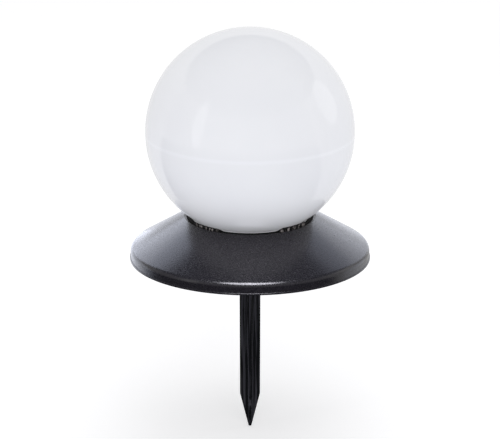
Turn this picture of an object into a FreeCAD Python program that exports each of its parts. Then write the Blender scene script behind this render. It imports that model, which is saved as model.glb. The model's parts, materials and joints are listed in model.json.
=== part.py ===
import FreeCAD
import Part
import math
import os

# Solar garden globe light, in millimetres.
# The origin is on the light's axis at ground level, where the base rim lies on the soil.
# +Z points up through the globe, and the spike goes down into the ground along -Z.

# ---- globe: two opal mouldings, lapped and bonded a little below the equator
GLOBE_DIAMETER = 200.0
GLOBE_WALL = 2.2
SEAM_DROP = 2.0
LAP_HEIGHT = 4.0
LAP_WALL = 1.05
BOND_GAP = 0.1
NECK_WALL = 2.5
NECK_FLANGE_REACH = 4.2
NECK_FLANGE_THICKNESS = 1.6
NECK_FLANGE_DROP = 0.9

# ---- quarter-turn bayonet: helical lugs on the neck, helical ramps in the collar
THREAD_LEAD = 24.0
THREAD_STARTS = 4
LUG_ANGLE = 45.0
LUG_SPAN = 28.0
LUG_REACH = 3.0
LUG_HEIGHT = 2.6
LUG_TAPER = 0.9
RAMP_GAP = 29.5
RAMP_HEIGHT = 2.6
RAMP_TAPER = 0.8
RAMP_DROP = 7.0
RAMP_RUNOUT = 1.0
STOP_SPAN = 3.0
STOP_INSET = 0.1
STOP_ROOT = 0.9
STOP_CLEARANCE = 0.5
RADIAL_CLEARANCE = 0.4
HELIX_CLEARANCE = 0.3

# ---- base: a conical cover with a low rim and a recess for the globe's neck
BASE_DIAMETER = 230.0
BASE_HEIGHT = 42.8
RIM_HEIGHT = 10.5
RIM_FILLET = 6.0
FOOT_LIP_REACH = 0.7
FOOT_LIP_HEIGHT = 1.6
COVER_WALL = 2.5
TOP_LAND = 1.5
TOP_ROUND = 0.7
LEDGE_DEPTH = 24.8
LEDGE_THICKNESS = 2.7
RIB_COUNT = 8
RIB_THICKNESS = 2.0
RIB_FOOT = 3.0
GLOBE_SINK = 0.9

# ---- collar: screwed down in the recess, it holds the bayonet ramps
COLLAR_WALL = 1.8
COLLAR_HEIGHT = 20.0
COLLAR_FLOOR = 2.5
COLLAR_FIT = 0.3
SEAL_THICKNESS = 1.2
SEAL_GAP = 0.1

# ---- chassis: the sealed cup that holds the electronics and the spike socket
CHASSIS_WALL = 2.0
CHASSIS_BOTTOM = 5.0
CHASSIS_FLOOR = 2.2
CHASSIS_RISE = 0.2
CHASSIS_NECK_GAP = 2.5
FLANGE_SETBACK = 0.7
FLANGE_THICKNESS = 2.5
GASKET_THICKNESS = 1.0
BODY_GAP = 0.6
DECK_THICKNESS = 3.0
DECK_RING_DEPTH = 2.5
DECK_RING_WALL = 1.8
DECK_BOSS_RADIUS = 3.2
DECK_BOSS_INSET = 4.4
FLANGE_BOSS_RADIUS = 3.2
FLANGE_BOSS_FLOOR = 1.2
SCREW_COUNT = 4

# ---- screws
SCREW_RADIUS = 1.5
SCREW_HEAD_RADIUS = 2.8
SCREW_HEAD_HEIGHT = 1.5
SCREW_CLEARANCE = 0.2
THREAD_FIT = 0.05
SCREW_END_GAP = 0.8
DECK_SCREW_LENGTH = 12.0
SMALL_SCREW_LENGTH = 7.0
PAN_HEAD_HEIGHT = 1.2

# ---- solar panel and lamps on the deck
PANEL_SIDE = 60.0
PANEL_THICKNESS = 2.2
PANEL_POCKET_DEPTH = 1.5
PANEL_POCKET_GAP = 0.3
PAD_THICKNESS = 0.5
PAD_MARGIN = 3.0
LED_BOARD_GAP = 0.55
LED_BOARD_WIDTH = 6.0
LED_BOARD_SETBACK = 0.6
BOARD_THICKNESS = 1.6
LED_COUNT = 12
LED_LENGTH = 3.5
LED_WIDTH = 2.8
LED_HEIGHT = 0.9
WIRE_HOLE_RADIUS = 3.0

# ---- battery, its bay and its door
CELL_RADIUS = 7.25
CELL_LENGTH = 49.2
CELL_NUB_RADIUS = 2.75
CELL_NUB_LENGTH = 1.3
CELL_SHOULDER = 0.8
BAY_SIDE_GAP = 0.8
BAY_WALL = 1.5
DOOR_SIDE_GAP = 0.6
SPRING_SPACE = 5.5
SPRING_WIRE = 0.4
SPRING_RADIUS = 4.0
SPRING_TIP_RADIUS = 2.4
SPRING_TURNS = 3
SPRING_TURN_RUNS = 8
CONTACT_SIDE = 12.0
CONTACT_THICKNESS = 0.5
CONTACT_TAB_WIDTH = 3.0
CONTACT_TAB_RISE = 3.0
DOOR_END = 10.5
DOOR_MARGIN = 2.95
DOOR_THICKNESS = 2.0
DOOR_GASKET_THICKNESS = 0.8
DOOR_SCREW_REACH = 6.5
DOOR_BOSS_HEIGHT = 9.0
DOOR_BOSS_RADIUS = 3.0
CRADLE_THICKNESS = 2.0
CRADLE_WIDTH = 12.0
CRADLE_X = 14.0
CELL_DOOR_GAP = 2.5

# ---- push switch under the base
BUTTON_X = 31.0
BUTTON_RADIUS = 4.0
BUTTON_PROUD = 2.4
BUTTON_FLANGE = 1.2
BUTTON_FLANGE_THICKNESS = 1.0
BUTTON_STEM_RADIUS = 1.5
BUTTON_STEM_LENGTH = 3.4
BUTTON_TRAVEL = 1.5
BUTTON_GAP = 0.3
SWITCH_SIDE = 14.0
SWITCH_HEIGHT = 6.0
SWITCH_POST_WIDTH = 6.0
SWITCH_POST_THICKNESS = 2.0
SWITCH_LEDGE = 1.0

# ---- driver board
DRIVER_LENGTH = 44.0
DRIVER_WIDTH = 26.0
DRIVER_GAP = 2.1
DRIVER_RISE = 9.0
STANDOFF_RADIUS = 2.6
STANDOFF_INSET = 4.0
COIL_RADIUS = 4.0
COIL_HEIGHT = 5.0
CAPACITOR_RADIUS = 3.0
CAPACITOR_HEIGHT = 8.0
SOCKET_HEIGHT = 5.0
SOCKET_LENGTH = 7.0
SOCKET_WIDTH = 5.0
WIRE_RADIUS = 0.7
WIRE_PITCH = 2.4
WIRE_BEND = 4.0
WIRE_RISE = 4.0

# ---- ground spike: a cross-section moulding with a keyed stem
SPIKE_WIDTH = 20.4
SPIKE_SHOULDER_WIDTH = 19.6
SPIKE_TIP_WIDTH = 2.6
FIN_COUNT = 4
FIN_THICKNESS = 4.0
FIN_SHOULDER_THICKNESS = 3.6
FIN_TIP_THICKNESS = 2.0
FIN_FILLET = 1.2
FIN_SHOULDER_FILLET = 1.0
FIN_TIP_FILLET = 0.2
SPIKE_SHOULDER_DEPTH = 140.0
SPIKE_DEPTH = 174.6
STEM_RADIUS = 7.5
STEM_FLAT = 6.4
STEM_LENGTH = 21.0
STEM_CHAMFER = 1.0
STEM_FIT = 0.08
SPIKE_FLANGE_REACH = 2.2
SPIKE_FLANGE_THICKNESS = 2.4
SEAT_GAP = 0.1
SOCKET_WALL = 3.4
SOCKET_ROOF = 2.0
SOCKET_HEADROOM = 1.0
GUSSET_COUNT = 4
GUSSET_ANGLE = 45.0
GUSSET_REACH = 20.0
GUSSET_HEIGHT = 7.0
GUSSET_THICKNESS = 1.5

# ---- how far joined solids reach into each other, and how near two points count as one
FUSE = 0.3
SAME_POINT = 1e-6
TURN = 360.0
UP = FreeCAD.Vector(0, 0, 1)
ORIGIN = FreeCAD.Vector(0, 0, 0)

# ---- worked out from the sizes above
led_board_inner = math.sqrt(2) * (PANEL_SIDE / 2 + PANEL_POCKET_GAP) + LED_BOARD_GAP
led_board_outer = led_board_inner + LED_BOARD_WIDTH
led_circle = led_board_inner + LED_BOARD_WIDTH / 2
chassis_radius = led_board_outer + LED_BOARD_SETBACK
globe_radius = GLOBE_DIAMETER / 2
neck_radius = chassis_radius + CHASSIS_NECK_GAP + NECK_WALL
neck_top = BASE_HEIGHT - GLOBE_SINK
globe_height = neck_top + math.sqrt(globe_radius ** 2 - neck_radius ** 2)
seam_height = globe_height - SEAM_DROP
lug_radius = neck_radius + LUG_REACH
ramp_radius = neck_radius + RADIAL_CLEARANCE
bore_radius = lug_radius + RADIAL_CLEARANCE
collar_radius = bore_radius + COLLAR_WALL
recess_radius = collar_radius + COLLAR_FIT
rim_radius = BASE_DIAMETER / 2
cone_top_radius = recess_radius + TOP_LAND
ledge_top = BASE_HEIGHT - LEDGE_DEPTH
ledge_bottom = ledge_top - LEDGE_THICKNESS
cone_slope = (BASE_HEIGHT - RIM_HEIGHT) / (rim_radius - cone_top_radius)
collar_top = ledge_top + COLLAR_HEIGHT
collar_floor_top = ledge_top + COLLAR_FLOOR
collar_floor_inner = chassis_radius + BODY_GAP
collar_screw_circle = (collar_floor_inner + bore_radius) / 2
ramp_face = collar_top - RAMP_DROP
flange_top = neck_top - NECK_FLANGE_DROP
flange_bottom = flange_top - NECK_FLANGE_THICKNESS
neck_bottom = collar_floor_top + BODY_GAP
chassis_top = BASE_HEIGHT + CHASSIS_RISE
chassis_floor_top = CHASSIS_BOTTOM + CHASSIS_FLOOR
collar_pilot_bottom = CHASSIS_BOTTOM + FLANGE_BOSS_FLOOR
collar_screw_length = collar_floor_top - collar_pilot_bottom - SCREW_END_GAP
chassis_flange_top = ledge_bottom - GASKET_THICKNESS
chassis_flange_bottom = chassis_flange_top - FLANGE_THICKNESS
chassis_flange_radius = collar_radius - FLANGE_SETBACK
deck_boss_circle = chassis_radius - DECK_BOSS_INSET
deck_top = chassis_top + DECK_THICKNESS
pocket_floor = deck_top - PANEL_POCKET_DEPTH
panel_bottom = pocket_floor + PAD_THICKNESS
led_board_top = deck_top + BOARD_THICKNESS
door_top = CHASSIS_BOTTOM - DOOR_GASKET_THICKNESS
door_bottom = door_top - DOOR_THICKNESS
cell_height = door_top + CELL_DOOR_GAP + CELL_RADIUS
contact_reach = 2 * CONTACT_THICKNESS
bay_length = CELL_LENGTH + CELL_NUB_LENGTH + SPRING_SPACE + contact_reach
bay_width = 2 * (CELL_RADIUS + BAY_SIDE_GAP)
door_length = bay_length + 2 * DOOR_END
door_width = bay_width + 2 * DOOR_MARGIN
door_screw_x = bay_length / 2 + DOOR_SCREW_REACH
spike_flange_radius = SPIKE_WIDTH / 2 + SPIKE_FLANGE_REACH
bay_y = -spike_flange_radius - DOOR_SIDE_GAP - door_width / 2
bay_roof = cell_height + CELL_RADIUS + BAY_SIDE_GAP
switch_bottom = chassis_floor_top + BUTTON_FLANGE_THICKNESS + BUTTON_TRAVEL + BUTTON_GAP
socket_radius = STEM_RADIUS + SOCKET_WALL
driver_y = socket_radius + DRIVER_GAP + DRIVER_WIDTH / 2
driver_bottom = chassis_floor_top + DRIVER_RISE
driver_top = driver_bottom + BOARD_THICKNESS
socket_top = driver_top + SOCKET_HEIGHT
stem_top = CHASSIS_BOTTOM + STEM_LENGTH
socket_roof = stem_top + SOCKET_HEADROOM + SOCKET_ROOF
wire_level = socket_roof + WIRE_RISE
stem_bottom = CHASSIS_BOTTOM - SEAT_GAP


def at(radius, height):
    """A point of a profile, drawn in the XZ plane."""
    return FreeCAD.Vector(radius, 0, height)


def profile(start, *moves):
    """Face in the XZ plane. A move of two numbers is a line, one of four an arc through a point."""
    edges = []
    here = at(*start)
    for move in moves:
        there = at(*move[-2:])
        if len(move) == 4:
            edges.append(Part.Arc(here, at(*move[:2]), there).toShape())
        else:
            edges.append(Part.makeLine(here, there))
        here = there
    if here.distanceToPoint(at(*start)) > SAME_POINT:
        edges.append(Part.makeLine(here, at(*start)))
    return Part.Face(Part.Wire(edges))


def rounded(corners):
    """Face in the XZ plane from corners of (x, z, radius), each rounded by a tangent arc."""
    points = [at(x, z) for x, z, radius in corners]
    edges = []
    ends = []
    for i, corner in enumerate(corners):
        point = points[i]
        back = (points[i - 1] - point).normalize()
        ahead = (points[(i + 1) % len(points)] - point).normalize()
        half = back.getAngle(ahead) / 2
        reach = corner[2] / math.tan(half)
        bisector = (back + ahead).normalize()
        inset = corner[2] / math.sin(half) - corner[2]
        ends.append((point + back * reach, point + bisector * inset, point + ahead * reach))
    for i, (first, middle, last) in enumerate(ends):
        previous = ends[i - 1][2]
        if previous.distanceToPoint(first) > SAME_POINT:
            edges.append(Part.makeLine(previous, first))
        if corners[i][2] > 0:
            edges.append(Part.Arc(first, middle, last).toShape())
    return Part.Face(Part.Wire(edges))


def spin(face):
    return face.revolve(ORIGIN, UP, TURN)


def disc(radius, bottom, top, x=0.0, y=0.0):
    return Part.makeCylinder(radius, top - bottom, FreeCAD.Vector(x, y, bottom))


def ring(inner, outer, bottom, top):
    return disc(outer, bottom, top).cut(disc(inner, bottom, top))


def block(x_size, y_size, bottom, top, x=0.0, y=0.0):
    corner = FreeCAD.Vector(x - x_size / 2, y - y_size / 2, bottom)
    return Part.makeBox(x_size, y_size, top - bottom, corner)


def turned(shape, angle):
    copy = shape.copy()
    copy.rotate(ORIGIN, UP, angle)
    return copy


def around(shape, count, start=0.0):
    return [turned(shape, start + i * TURN / count) for i in range(count)]


def polar(radius, angle):
    return radius * math.cos(math.radians(angle)), radius * math.sin(math.radians(angle))


def join(shapes):
    whole = shapes[0].multiFuse(shapes[1:])
    return whole.removeSplitter()


def sphere_point(radius, height):
    """Profile point on a sphere about the globe's middle."""
    return math.sqrt(radius ** 2 - (height - globe_height) ** 2), height


def sphere_arc(radius, bottom, top):
    """The middle and end of a profile arc on a sphere about the globe's middle."""
    return sphere_point(radius, (bottom + top) / 2) + sphere_point(radius, top)


def helical_bar(section, first_angle, last_angle):
    """A bar of the bayonet: the section, drawn at angle 0, swept along the thread's helix."""
    rise = THREAD_LEAD * (last_angle - first_angle) / TURN
    helix = Part.makeHelix(THREAD_LEAD, rise, neck_radius)
    outline = Part.makePolygon([at(*point) for point in section + section[:1]])
    bar = Part.Wire(helix.Edges).makePipeShell([outline], True, True)
    bar.rotate(ORIGIN, UP, first_angle)
    bar.translate(UP * (ramp_face + THREAD_LEAD * first_angle / TURN))
    return bar


def rod_bend(radius, start, corner, end):
    """A stretch of rod bent about one centre, from start to end, tangent to both runs at the corner."""
    back = (start - corner).normalize()
    ahead = (end - corner).normalize()
    middle = (back + ahead).normalize() * (start.distanceToPoint(corner) / math.cos(back.getAngle(ahead) / 2))
    axis = back.cross(ahead) * -1
    section = Part.Face(Part.Wire(Part.makeCircle(radius, start, back)))
    return section.revolve(corner + middle, axis, TURN / 2 - math.degrees(back.getAngle(ahead)))


def rod(points, radius, bend):
    """Round rod: straight runs joined by tangent bends, each at most as large as its runs allow."""
    route = [FreeCAD.Vector(*point) for point in points]
    pieces = []
    here = route[0]
    for before, corner, after in zip(route, route[1:], route[2:]):
        back = (before - corner).normalize()
        ahead = (after - corner).normalize()
        room = min(corner.distanceToPoint(before), corner.distanceToPoint(after)) / 2
        reach = min(bend / math.tan(back.getAngle(ahead) / 2), room)
        start = corner + back * reach
        if start.distanceToPoint(here) > SAME_POINT:
            pieces.append(Part.makeCylinder(radius, start.distanceToPoint(here), here, start - here))
        here = corner + ahead * reach
        pieces.append(rod_bend(radius, start, corner, here))
    pieces.append(Part.makeCylinder(radius, here.distanceToPoint(route[-1]), here, route[-1] - here))
    return join(pieces)


def wire_pair(points, spread_x, spread_y):
    """Two wires side by side, each half a pitch from the route."""
    pair = []
    for side in (-1, 1):
        shift_x = side * spread_x * WIRE_PITCH / 2
        shift_y = side * spread_y * WIRE_PITCH / 2
        pair.append(rod([(x + shift_x, y + shift_y, z) for x, y, z in points], WIRE_RADIUS, WIRE_BEND))
    return Part.Compound(pair)


def countersunk_screw(length, top, x, y):
    head = Part.makeCone(SCREW_RADIUS, SCREW_HEAD_RADIUS, SCREW_HEAD_HEIGHT,
                         FreeCAD.Vector(x, y, top - SCREW_HEAD_HEIGHT))
    return join([head, disc(SCREW_RADIUS, top - length, top, x, y)])


def countersink(top, bottom, x, y):
    """Clearance hole with a conical mouth at the top."""
    mouth = Part.makeCone(SCREW_RADIUS + SCREW_CLEARANCE, SCREW_HEAD_RADIUS + SCREW_CLEARANCE,
                          SCREW_HEAD_HEIGHT, FreeCAD.Vector(x, y, top - SCREW_HEAD_HEIGHT))
    return join([mouth, disc(SCREW_RADIUS + SCREW_CLEARANCE, bottom, top, x, y)])


def collar_screw_places():
    return [polar(collar_screw_circle, i * TURN / SCREW_COUNT) for i in range(SCREW_COUNT)]


def deck_screw_places():
    return [polar(deck_boss_circle, i * TURN / SCREW_COUNT) for i in range(SCREW_COUNT)]


# ---- the globe and what turns and lifts with it

def globe_upper():
    """Opal dome. Its lower edge is rebated inside, over the spigot of the lower half."""
    outer, inner = globe_radius, globe_radius - GLOBE_WALL
    crown = globe_height + globe_radius
    lap_top = seam_height + LAP_HEIGHT + BOND_GAP
    rebate = inner + LAP_WALL + BOND_GAP
    quarter = math.sqrt(0.5)
    return spin(profile(
        sphere_point(rebate, seam_height),
        sphere_point(outer, seam_height),
        (outer * quarter, globe_height + outer * quarter, 0, crown),
        (0, crown - GLOBE_WALL),
        (inner * quarter, globe_height + inner * quarter) + sphere_point(inner, lap_top),
        sphere_point(rebate, lap_top),
        sphere_arc(rebate, lap_top, seam_height)))


def neck_lugs():
    """Four helical lugs, flat on top where they pull up against the ramps."""
    section = [(neck_radius - FUSE, -HELIX_CLEARANCE),
               (lug_radius, -HELIX_CLEARANCE),
               (lug_radius, LUG_TAPER - LUG_HEIGHT),
               (neck_radius - FUSE, -LUG_HEIGHT)]
    lug = helical_bar(section, -LUG_SPAN / 2, LUG_SPAN / 2)
    return around(lug, THREAD_STARTS, LUG_ANGLE)


def globe_lower():
    """Opal bowl with a spigot at its rim, and a neck with a flange and the bayonet lugs."""
    outer, inner = globe_radius, globe_radius - GLOBE_WALL
    neck_bore = neck_radius - NECK_WALL
    flange_radius = neck_radius + NECK_FLANGE_REACH
    spigot = inner + LAP_WALL
    spigot_top = seam_height + LAP_HEIGHT
    bore_top = globe_height - math.sqrt(inner ** 2 - neck_bore ** 2)
    shell = spin(profile(
        (neck_bore, neck_bottom),
        (neck_radius, neck_bottom),
        (neck_radius, flange_bottom),
        (flange_radius, flange_bottom),
        (flange_radius, flange_top),
        (neck_radius, flange_top),
        (neck_radius, neck_top),
        sphere_arc(outer, neck_top, seam_height),
        sphere_point(spigot, seam_height),
        sphere_arc(spigot, seam_height, spigot_top),
        sphere_point(inner, spigot_top),
        sphere_arc(inner, spigot_top, bore_top)))
    return join([shell] + neck_lugs())


def neck_seal():
    """Flat rubber washer under the neck flange; it rests on the top of the collar."""
    return ring(neck_radius + SEAL_GAP, collar_radius - COLLAR_FIT, collar_top + SEAL_GAP,
                collar_top + SEAL_GAP + SEAL_THICKNESS)


# ---- the base

def base_cover():
    """Conical cover with a fillet above its rim, a foot lip, a recess with a ledge, and ribs."""
    drop = COVER_WALL * math.sqrt(1 + cone_slope ** 2)
    inner_rim = rim_radius - COVER_WALL
    recess_outer = recess_radius + COVER_WALL
    ledge_inner = collar_floor_inner

    def under_cone(radius):
        return BASE_HEIGHT - drop - cone_slope * (radius - cone_top_radius)

    shell = spin(rounded([
        (inner_rim, 0, 0),
        (rim_radius + FOOT_LIP_REACH, 0, 0),
        (rim_radius + FOOT_LIP_REACH, FOOT_LIP_HEIGHT, 0),
        (rim_radius, FOOT_LIP_HEIGHT, 0),
        (rim_radius, RIM_HEIGHT, RIM_FILLET),
        (cone_top_radius, BASE_HEIGHT, TOP_ROUND),
        (recess_radius, BASE_HEIGHT, TOP_ROUND),
        (recess_radius, ledge_top, 0),
        (ledge_inner, ledge_top, 0),
        (ledge_inner, ledge_bottom, 0),
        (recess_outer, ledge_bottom, 0),
        (recess_outer, under_cone(recess_outer), 0),
        (inner_rim, under_cone(inner_rim), 0)]))
    first, last = recess_outer - FUSE, inner_rim + FUSE
    web = profile((first, ledge_bottom), (last, RIB_FOOT), (last, under_cone(last) + FUSE),
                  (first, under_cone(first) + FUSE))
    rib = web.extrude(FreeCAD.Vector(0, RIB_THICKNESS, 0))
    rib.translate(FreeCAD.Vector(0, -RIB_THICKNESS / 2, 0))
    cover = join([shell] + around(rib, RIB_COUNT, TURN / RIB_COUNT / 2))
    holes = [disc(SCREW_RADIUS + SCREW_CLEARANCE, ledge_bottom, ledge_top, x, y)
             for x, y in collar_screw_places()]
    return cover.cut(holes)


def bayonet_collar():
    """Black collar with four helical ramps, each closed at one end by a stop."""
    wall = spin(profile(
        (collar_floor_inner, ledge_top),
        (collar_radius, ledge_top),
        (collar_radius, collar_top),
        (bore_radius, collar_top),
        (bore_radius, collar_floor_top),
        (collar_floor_inner, collar_floor_top)))
    section = [(bore_radius + FUSE, 0),
               (ramp_radius, 0),
               (ramp_radius, RAMP_HEIGHT - RAMP_TAPER),
               (bore_radius + FUSE, RAMP_HEIGHT)]
    stop_middle = -(LUG_SPAN + STOP_SPAN) / 2 - STOP_CLEARANCE
    stop_level = ramp_face + THREAD_LEAD * stop_middle / TURN
    stop_inner = ramp_radius + STOP_INSET
    stop_depth = bore_radius + FUSE - stop_inner
    stop = block(stop_depth, bore_radius * math.radians(STOP_SPAN), stop_level - LUG_HEIGHT,
                 stop_level + STOP_ROOT, stop_inner + stop_depth / 2)
    ramp_start = stop_middle - STOP_SPAN / 2 - RAMP_RUNOUT
    ramp = helical_bar(section, ramp_start, ramp_start + TURN / THREAD_STARTS - RAMP_GAP)
    catches = around(ramp, THREAD_STARTS, LUG_ANGLE) + around(stop, THREAD_STARTS, LUG_ANGLE + stop_middle)
    holes = [countersink(collar_floor_top, ledge_top, x, y) for x, y in collar_screw_places()]
    return join([wall] + catches).cut(holes)


def collar_screws():
    return Part.Compound([countersunk_screw(collar_screw_length, collar_floor_top, x, y)
                          for x, y in collar_screw_places()])


def chassis_gasket():
    washer = ring(collar_floor_inner, chassis_flange_radius, chassis_flange_top, ledge_bottom)
    holes = [disc(SCREW_RADIUS + SCREW_CLEARANCE, chassis_flange_top, ledge_bottom, x, y)
             for x, y in collar_screw_places()]
    return washer.cut(holes)


def spike_stem(growth, bottom, top):
    """The keyed round shape that the spike's stem and its socket share."""
    flat = 2 * (STEM_FLAT + growth)
    length = 2 * (STEM_RADIUS + growth)
    return disc(STEM_RADIUS + growth, bottom, top).common(block(length, flat, bottom, top))


def switch_posts():
    """Two posts with ledges that carry the switch over the button."""
    posts = []
    for side in (-1, 1):
        ledge_y = side * (SWITCH_SIDE - SWITCH_LEDGE) / 2
        post_y = side * (SWITCH_SIDE / 2 + SWITCH_POST_THICKNESS / 2)
        posts.append(block(SWITCH_POST_WIDTH, SWITCH_LEDGE, chassis_floor_top - FUSE, switch_bottom,
                           BUTTON_X, ledge_y))
        posts.append(block(SWITCH_POST_WIDTH, SWITCH_POST_THICKNESS, chassis_floor_top - FUSE,
                           switch_bottom + SWITCH_HEIGHT, BUTTON_X, post_y))
    return posts


def driver_standoff_places():
    x = DRIVER_LENGTH / 2 - STANDOFF_INSET
    y = DRIVER_WIDTH / 2 - STANDOFF_INSET
    return [(-x, driver_y + y), (x, driver_y - y)]


def contact_places():
    """The two ends of the battery bay, and which way each faces."""
    return [(-1, -bay_length / 2 + CONTACT_THICKNESS / 2), (1, bay_length / 2 - CONTACT_THICKNESS / 2)]


def chassis():
    """Electronics cup with a flange, screw bosses, the spike socket and the battery bay."""
    solids = [ring(chassis_radius - CHASSIS_WALL, chassis_radius, CHASSIS_BOTTOM, chassis_top),
              disc(chassis_radius, CHASSIS_BOTTOM, chassis_floor_top),
              ring(chassis_radius - FUSE, chassis_flange_radius, chassis_flange_bottom, chassis_flange_top),
              disc(socket_radius, CHASSIS_BOTTOM, socket_roof),
              block(bay_length + 2 * BAY_WALL, bay_width + 2 * BAY_WALL, CHASSIS_BOTTOM,
                    bay_roof + BAY_WALL, 0, bay_y)]
    gusset = block(GUSSET_REACH, GUSSET_THICKNESS, chassis_floor_top - FUSE,
                   chassis_floor_top + GUSSET_HEIGHT, GUSSET_REACH / 2)
    solids += around(gusset, GUSSET_COUNT, GUSSET_ANGLE)
    solids += [disc(FLANGE_BOSS_RADIUS, CHASSIS_BOTTOM, chassis_flange_bottom + FUSE, x, y)
               for x, y in collar_screw_places()]
    solids += [disc(DECK_BOSS_RADIUS, chassis_floor_top - FUSE, chassis_top, x, y)
               for x, y in deck_screw_places()]
    solids += [disc(DOOR_BOSS_RADIUS, chassis_floor_top - FUSE, CHASSIS_BOTTOM + DOOR_BOSS_HEIGHT, x, bay_y)
               for x in (-door_screw_x, door_screw_x)]
    solids += [disc(STANDOFF_RADIUS, chassis_floor_top - FUSE, driver_bottom, x, y)
               for x, y in driver_standoff_places()]
    solids += switch_posts()
    cuts = [spike_stem(STEM_FIT, CHASSIS_BOTTOM, stem_top + SOCKET_HEADROOM),
            block(bay_length, bay_width, CHASSIS_BOTTOM, bay_roof, 0, bay_y),
            disc(BUTTON_RADIUS + BUTTON_GAP, CHASSIS_BOTTOM, chassis_floor_top, BUTTON_X)]
    cuts += [block(CONTACT_THICKNESS + FUSE, CONTACT_TAB_WIDTH + FUSE, bay_roof, bay_roof + BAY_WALL,
                   x, bay_y) for side, x in contact_places()]
    pilot = SCREW_RADIUS + THREAD_FIT
    cuts += [disc(pilot, collar_pilot_bottom, chassis_flange_top, x, y)
             for x, y in collar_screw_places()]
    cuts += [disc(pilot, chassis_top - DECK_SCREW_LENGTH, chassis_top, x, y)
             for x, y in deck_screw_places()]
    cuts += [disc(pilot, CHASSIS_BOTTOM, CHASSIS_BOTTOM + SMALL_SCREW_LENGTH, x, bay_y)
             for x in (-door_screw_x, door_screw_x)]
    cuts += [disc(pilot, driver_bottom - SMALL_SCREW_LENGTH, driver_bottom, x, y)
             for x, y in driver_standoff_places()]
    return join(solids).cut(cuts)


# ---- the deck inside the globe's neck

def light_deck():
    """White plate that closes the chassis, with a pocket for the panel and holes for its wires."""
    pocket = PANEL_SIDE + 2 * PANEL_POCKET_GAP
    ring_outer = deck_boss_circle - DECK_BOSS_RADIUS - PANEL_POCKET_GAP
    plate = join([disc(chassis_radius, chassis_top, deck_top),
                  ring(ring_outer - DECK_RING_WALL, ring_outer, chassis_top - DECK_RING_DEPTH,
                       chassis_top + FUSE)])
    cuts = [block(pocket, pocket, pocket_floor, deck_top),
            disc(WIRE_HOLE_RADIUS, chassis_top, pocket_floor),
            disc(WIRE_HOLE_RADIUS, chassis_top, deck_top, *led_wire_place())]
    cuts += [disc(SCREW_RADIUS + SCREW_CLEARANCE, chassis_top, deck_top, x, y)
             for x, y in deck_screw_places()]
    return plate.cut(cuts)


def led_angles():
    return [(i + 0.5) * TURN / LED_COUNT for i in range(LED_COUNT)]


def led_wire_place():
    """Half way between two lamps and two screws, on the lamps' circle."""
    return polar(led_circle, led_angles()[1] + TURN / LED_COUNT / 2)


def led_board():
    board = ring(led_board_inner, led_board_outer, deck_top, led_board_top)
    return board.cut([disc(SCREW_RADIUS + SCREW_CLEARANCE, deck_top, led_board_top, x, y)
                      for x, y in deck_screw_places()])


def leds():
    lamp = block(LED_WIDTH, LED_LENGTH, led_board_top, led_board_top + LED_HEIGHT, led_circle)
    return Part.Compound([turned(lamp, angle) for angle in led_angles()])


def deck_screws():
    screws = []
    for x, y in deck_screw_places():
        head = disc(SCREW_HEAD_RADIUS, led_board_top, led_board_top + PAN_HEAD_HEIGHT, x, y)
        shank = disc(SCREW_RADIUS, led_board_top - DECK_SCREW_LENGTH, led_board_top + FUSE, x, y)
        screws.append(join([head, shank]))
    return Part.Compound(screws)


def panel_pad():
    side = PANEL_SIDE - 2 * PAD_MARGIN
    pad = block(side, side, pocket_floor, panel_bottom)
    return pad.cut(disc(WIRE_HOLE_RADIUS, pocket_floor, panel_bottom))


def solar_panel():
    return block(PANEL_SIDE, PANEL_SIDE, panel_bottom, panel_bottom + PANEL_THICKNESS)


# ---- the battery and its door

def cell_start():
    """Where the flat end of the cell meets the contact spring."""
    return -bay_length / 2 + CONTACT_THICKNESS + SPRING_SPACE


def battery():
    """Rechargeable cell lying along X, with a rolled shoulder and its raised contact."""
    start = cell_start()
    along = FreeCAD.Vector(1, 0, 0)
    can = Part.makeCylinder(CELL_RADIUS, CELL_LENGTH, FreeCAD.Vector(start, bay_y, cell_height), along)
    can = can.makeFillet(CELL_SHOULDER, [edge for edge in can.Edges if edge.Closed])
    nub = Part.makeCylinder(CELL_NUB_RADIUS, CELL_NUB_LENGTH + CELL_SHOULDER,
                            FreeCAD.Vector(start + CELL_LENGTH - CELL_SHOULDER, bay_y, cell_height), along)
    return join([can, nub])


def contact_plates():
    """Two spring-steel plates at the ends of the bay, each with a solder tab through its roof."""
    plates = []
    for side, x in contact_places():
        plate = block(CONTACT_THICKNESS, CONTACT_SIDE, cell_height - CONTACT_SIDE / 2,
                      cell_height + CONTACT_SIDE / 2, x, bay_y)
        tab = block(CONTACT_THICKNESS, CONTACT_TAB_WIDTH, cell_height, bay_roof + CONTACT_TAB_RISE,
                    x, bay_y)
        plates.append(join([plate, tab]))
    return Part.Compound(plates)


def contact_spring():
    """Conical spring between the contact plate and the flat end of the cell."""
    length = SPRING_SPACE - 2 * SPRING_WIRE
    first = -bay_length / 2 + CONTACT_THICKNESS + SPRING_WIRE
    runs = SPRING_TURNS * SPRING_TURN_RUNS
    route = []
    for i in range(runs + 1):
        share = i / runs
        y, z = polar(SPRING_RADIUS + (SPRING_TIP_RADIUS - SPRING_RADIUS) * share, i * TURN / SPRING_TURN_RUNS)
        route.append((first + length * share, bay_y + y, cell_height + z))
    return rod(route, SPRING_WIRE, SPRING_RADIUS)


def door_outline(bottom, top):
    """Plate with round ends, under the battery bay."""
    end = door_width / 2
    straight = door_length - door_width
    return join([block(straight, door_width, bottom, top, 0, bay_y),
                 disc(end, bottom, top, -straight / 2, bay_y),
                 disc(end, bottom, top, straight / 2, bay_y)])


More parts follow.
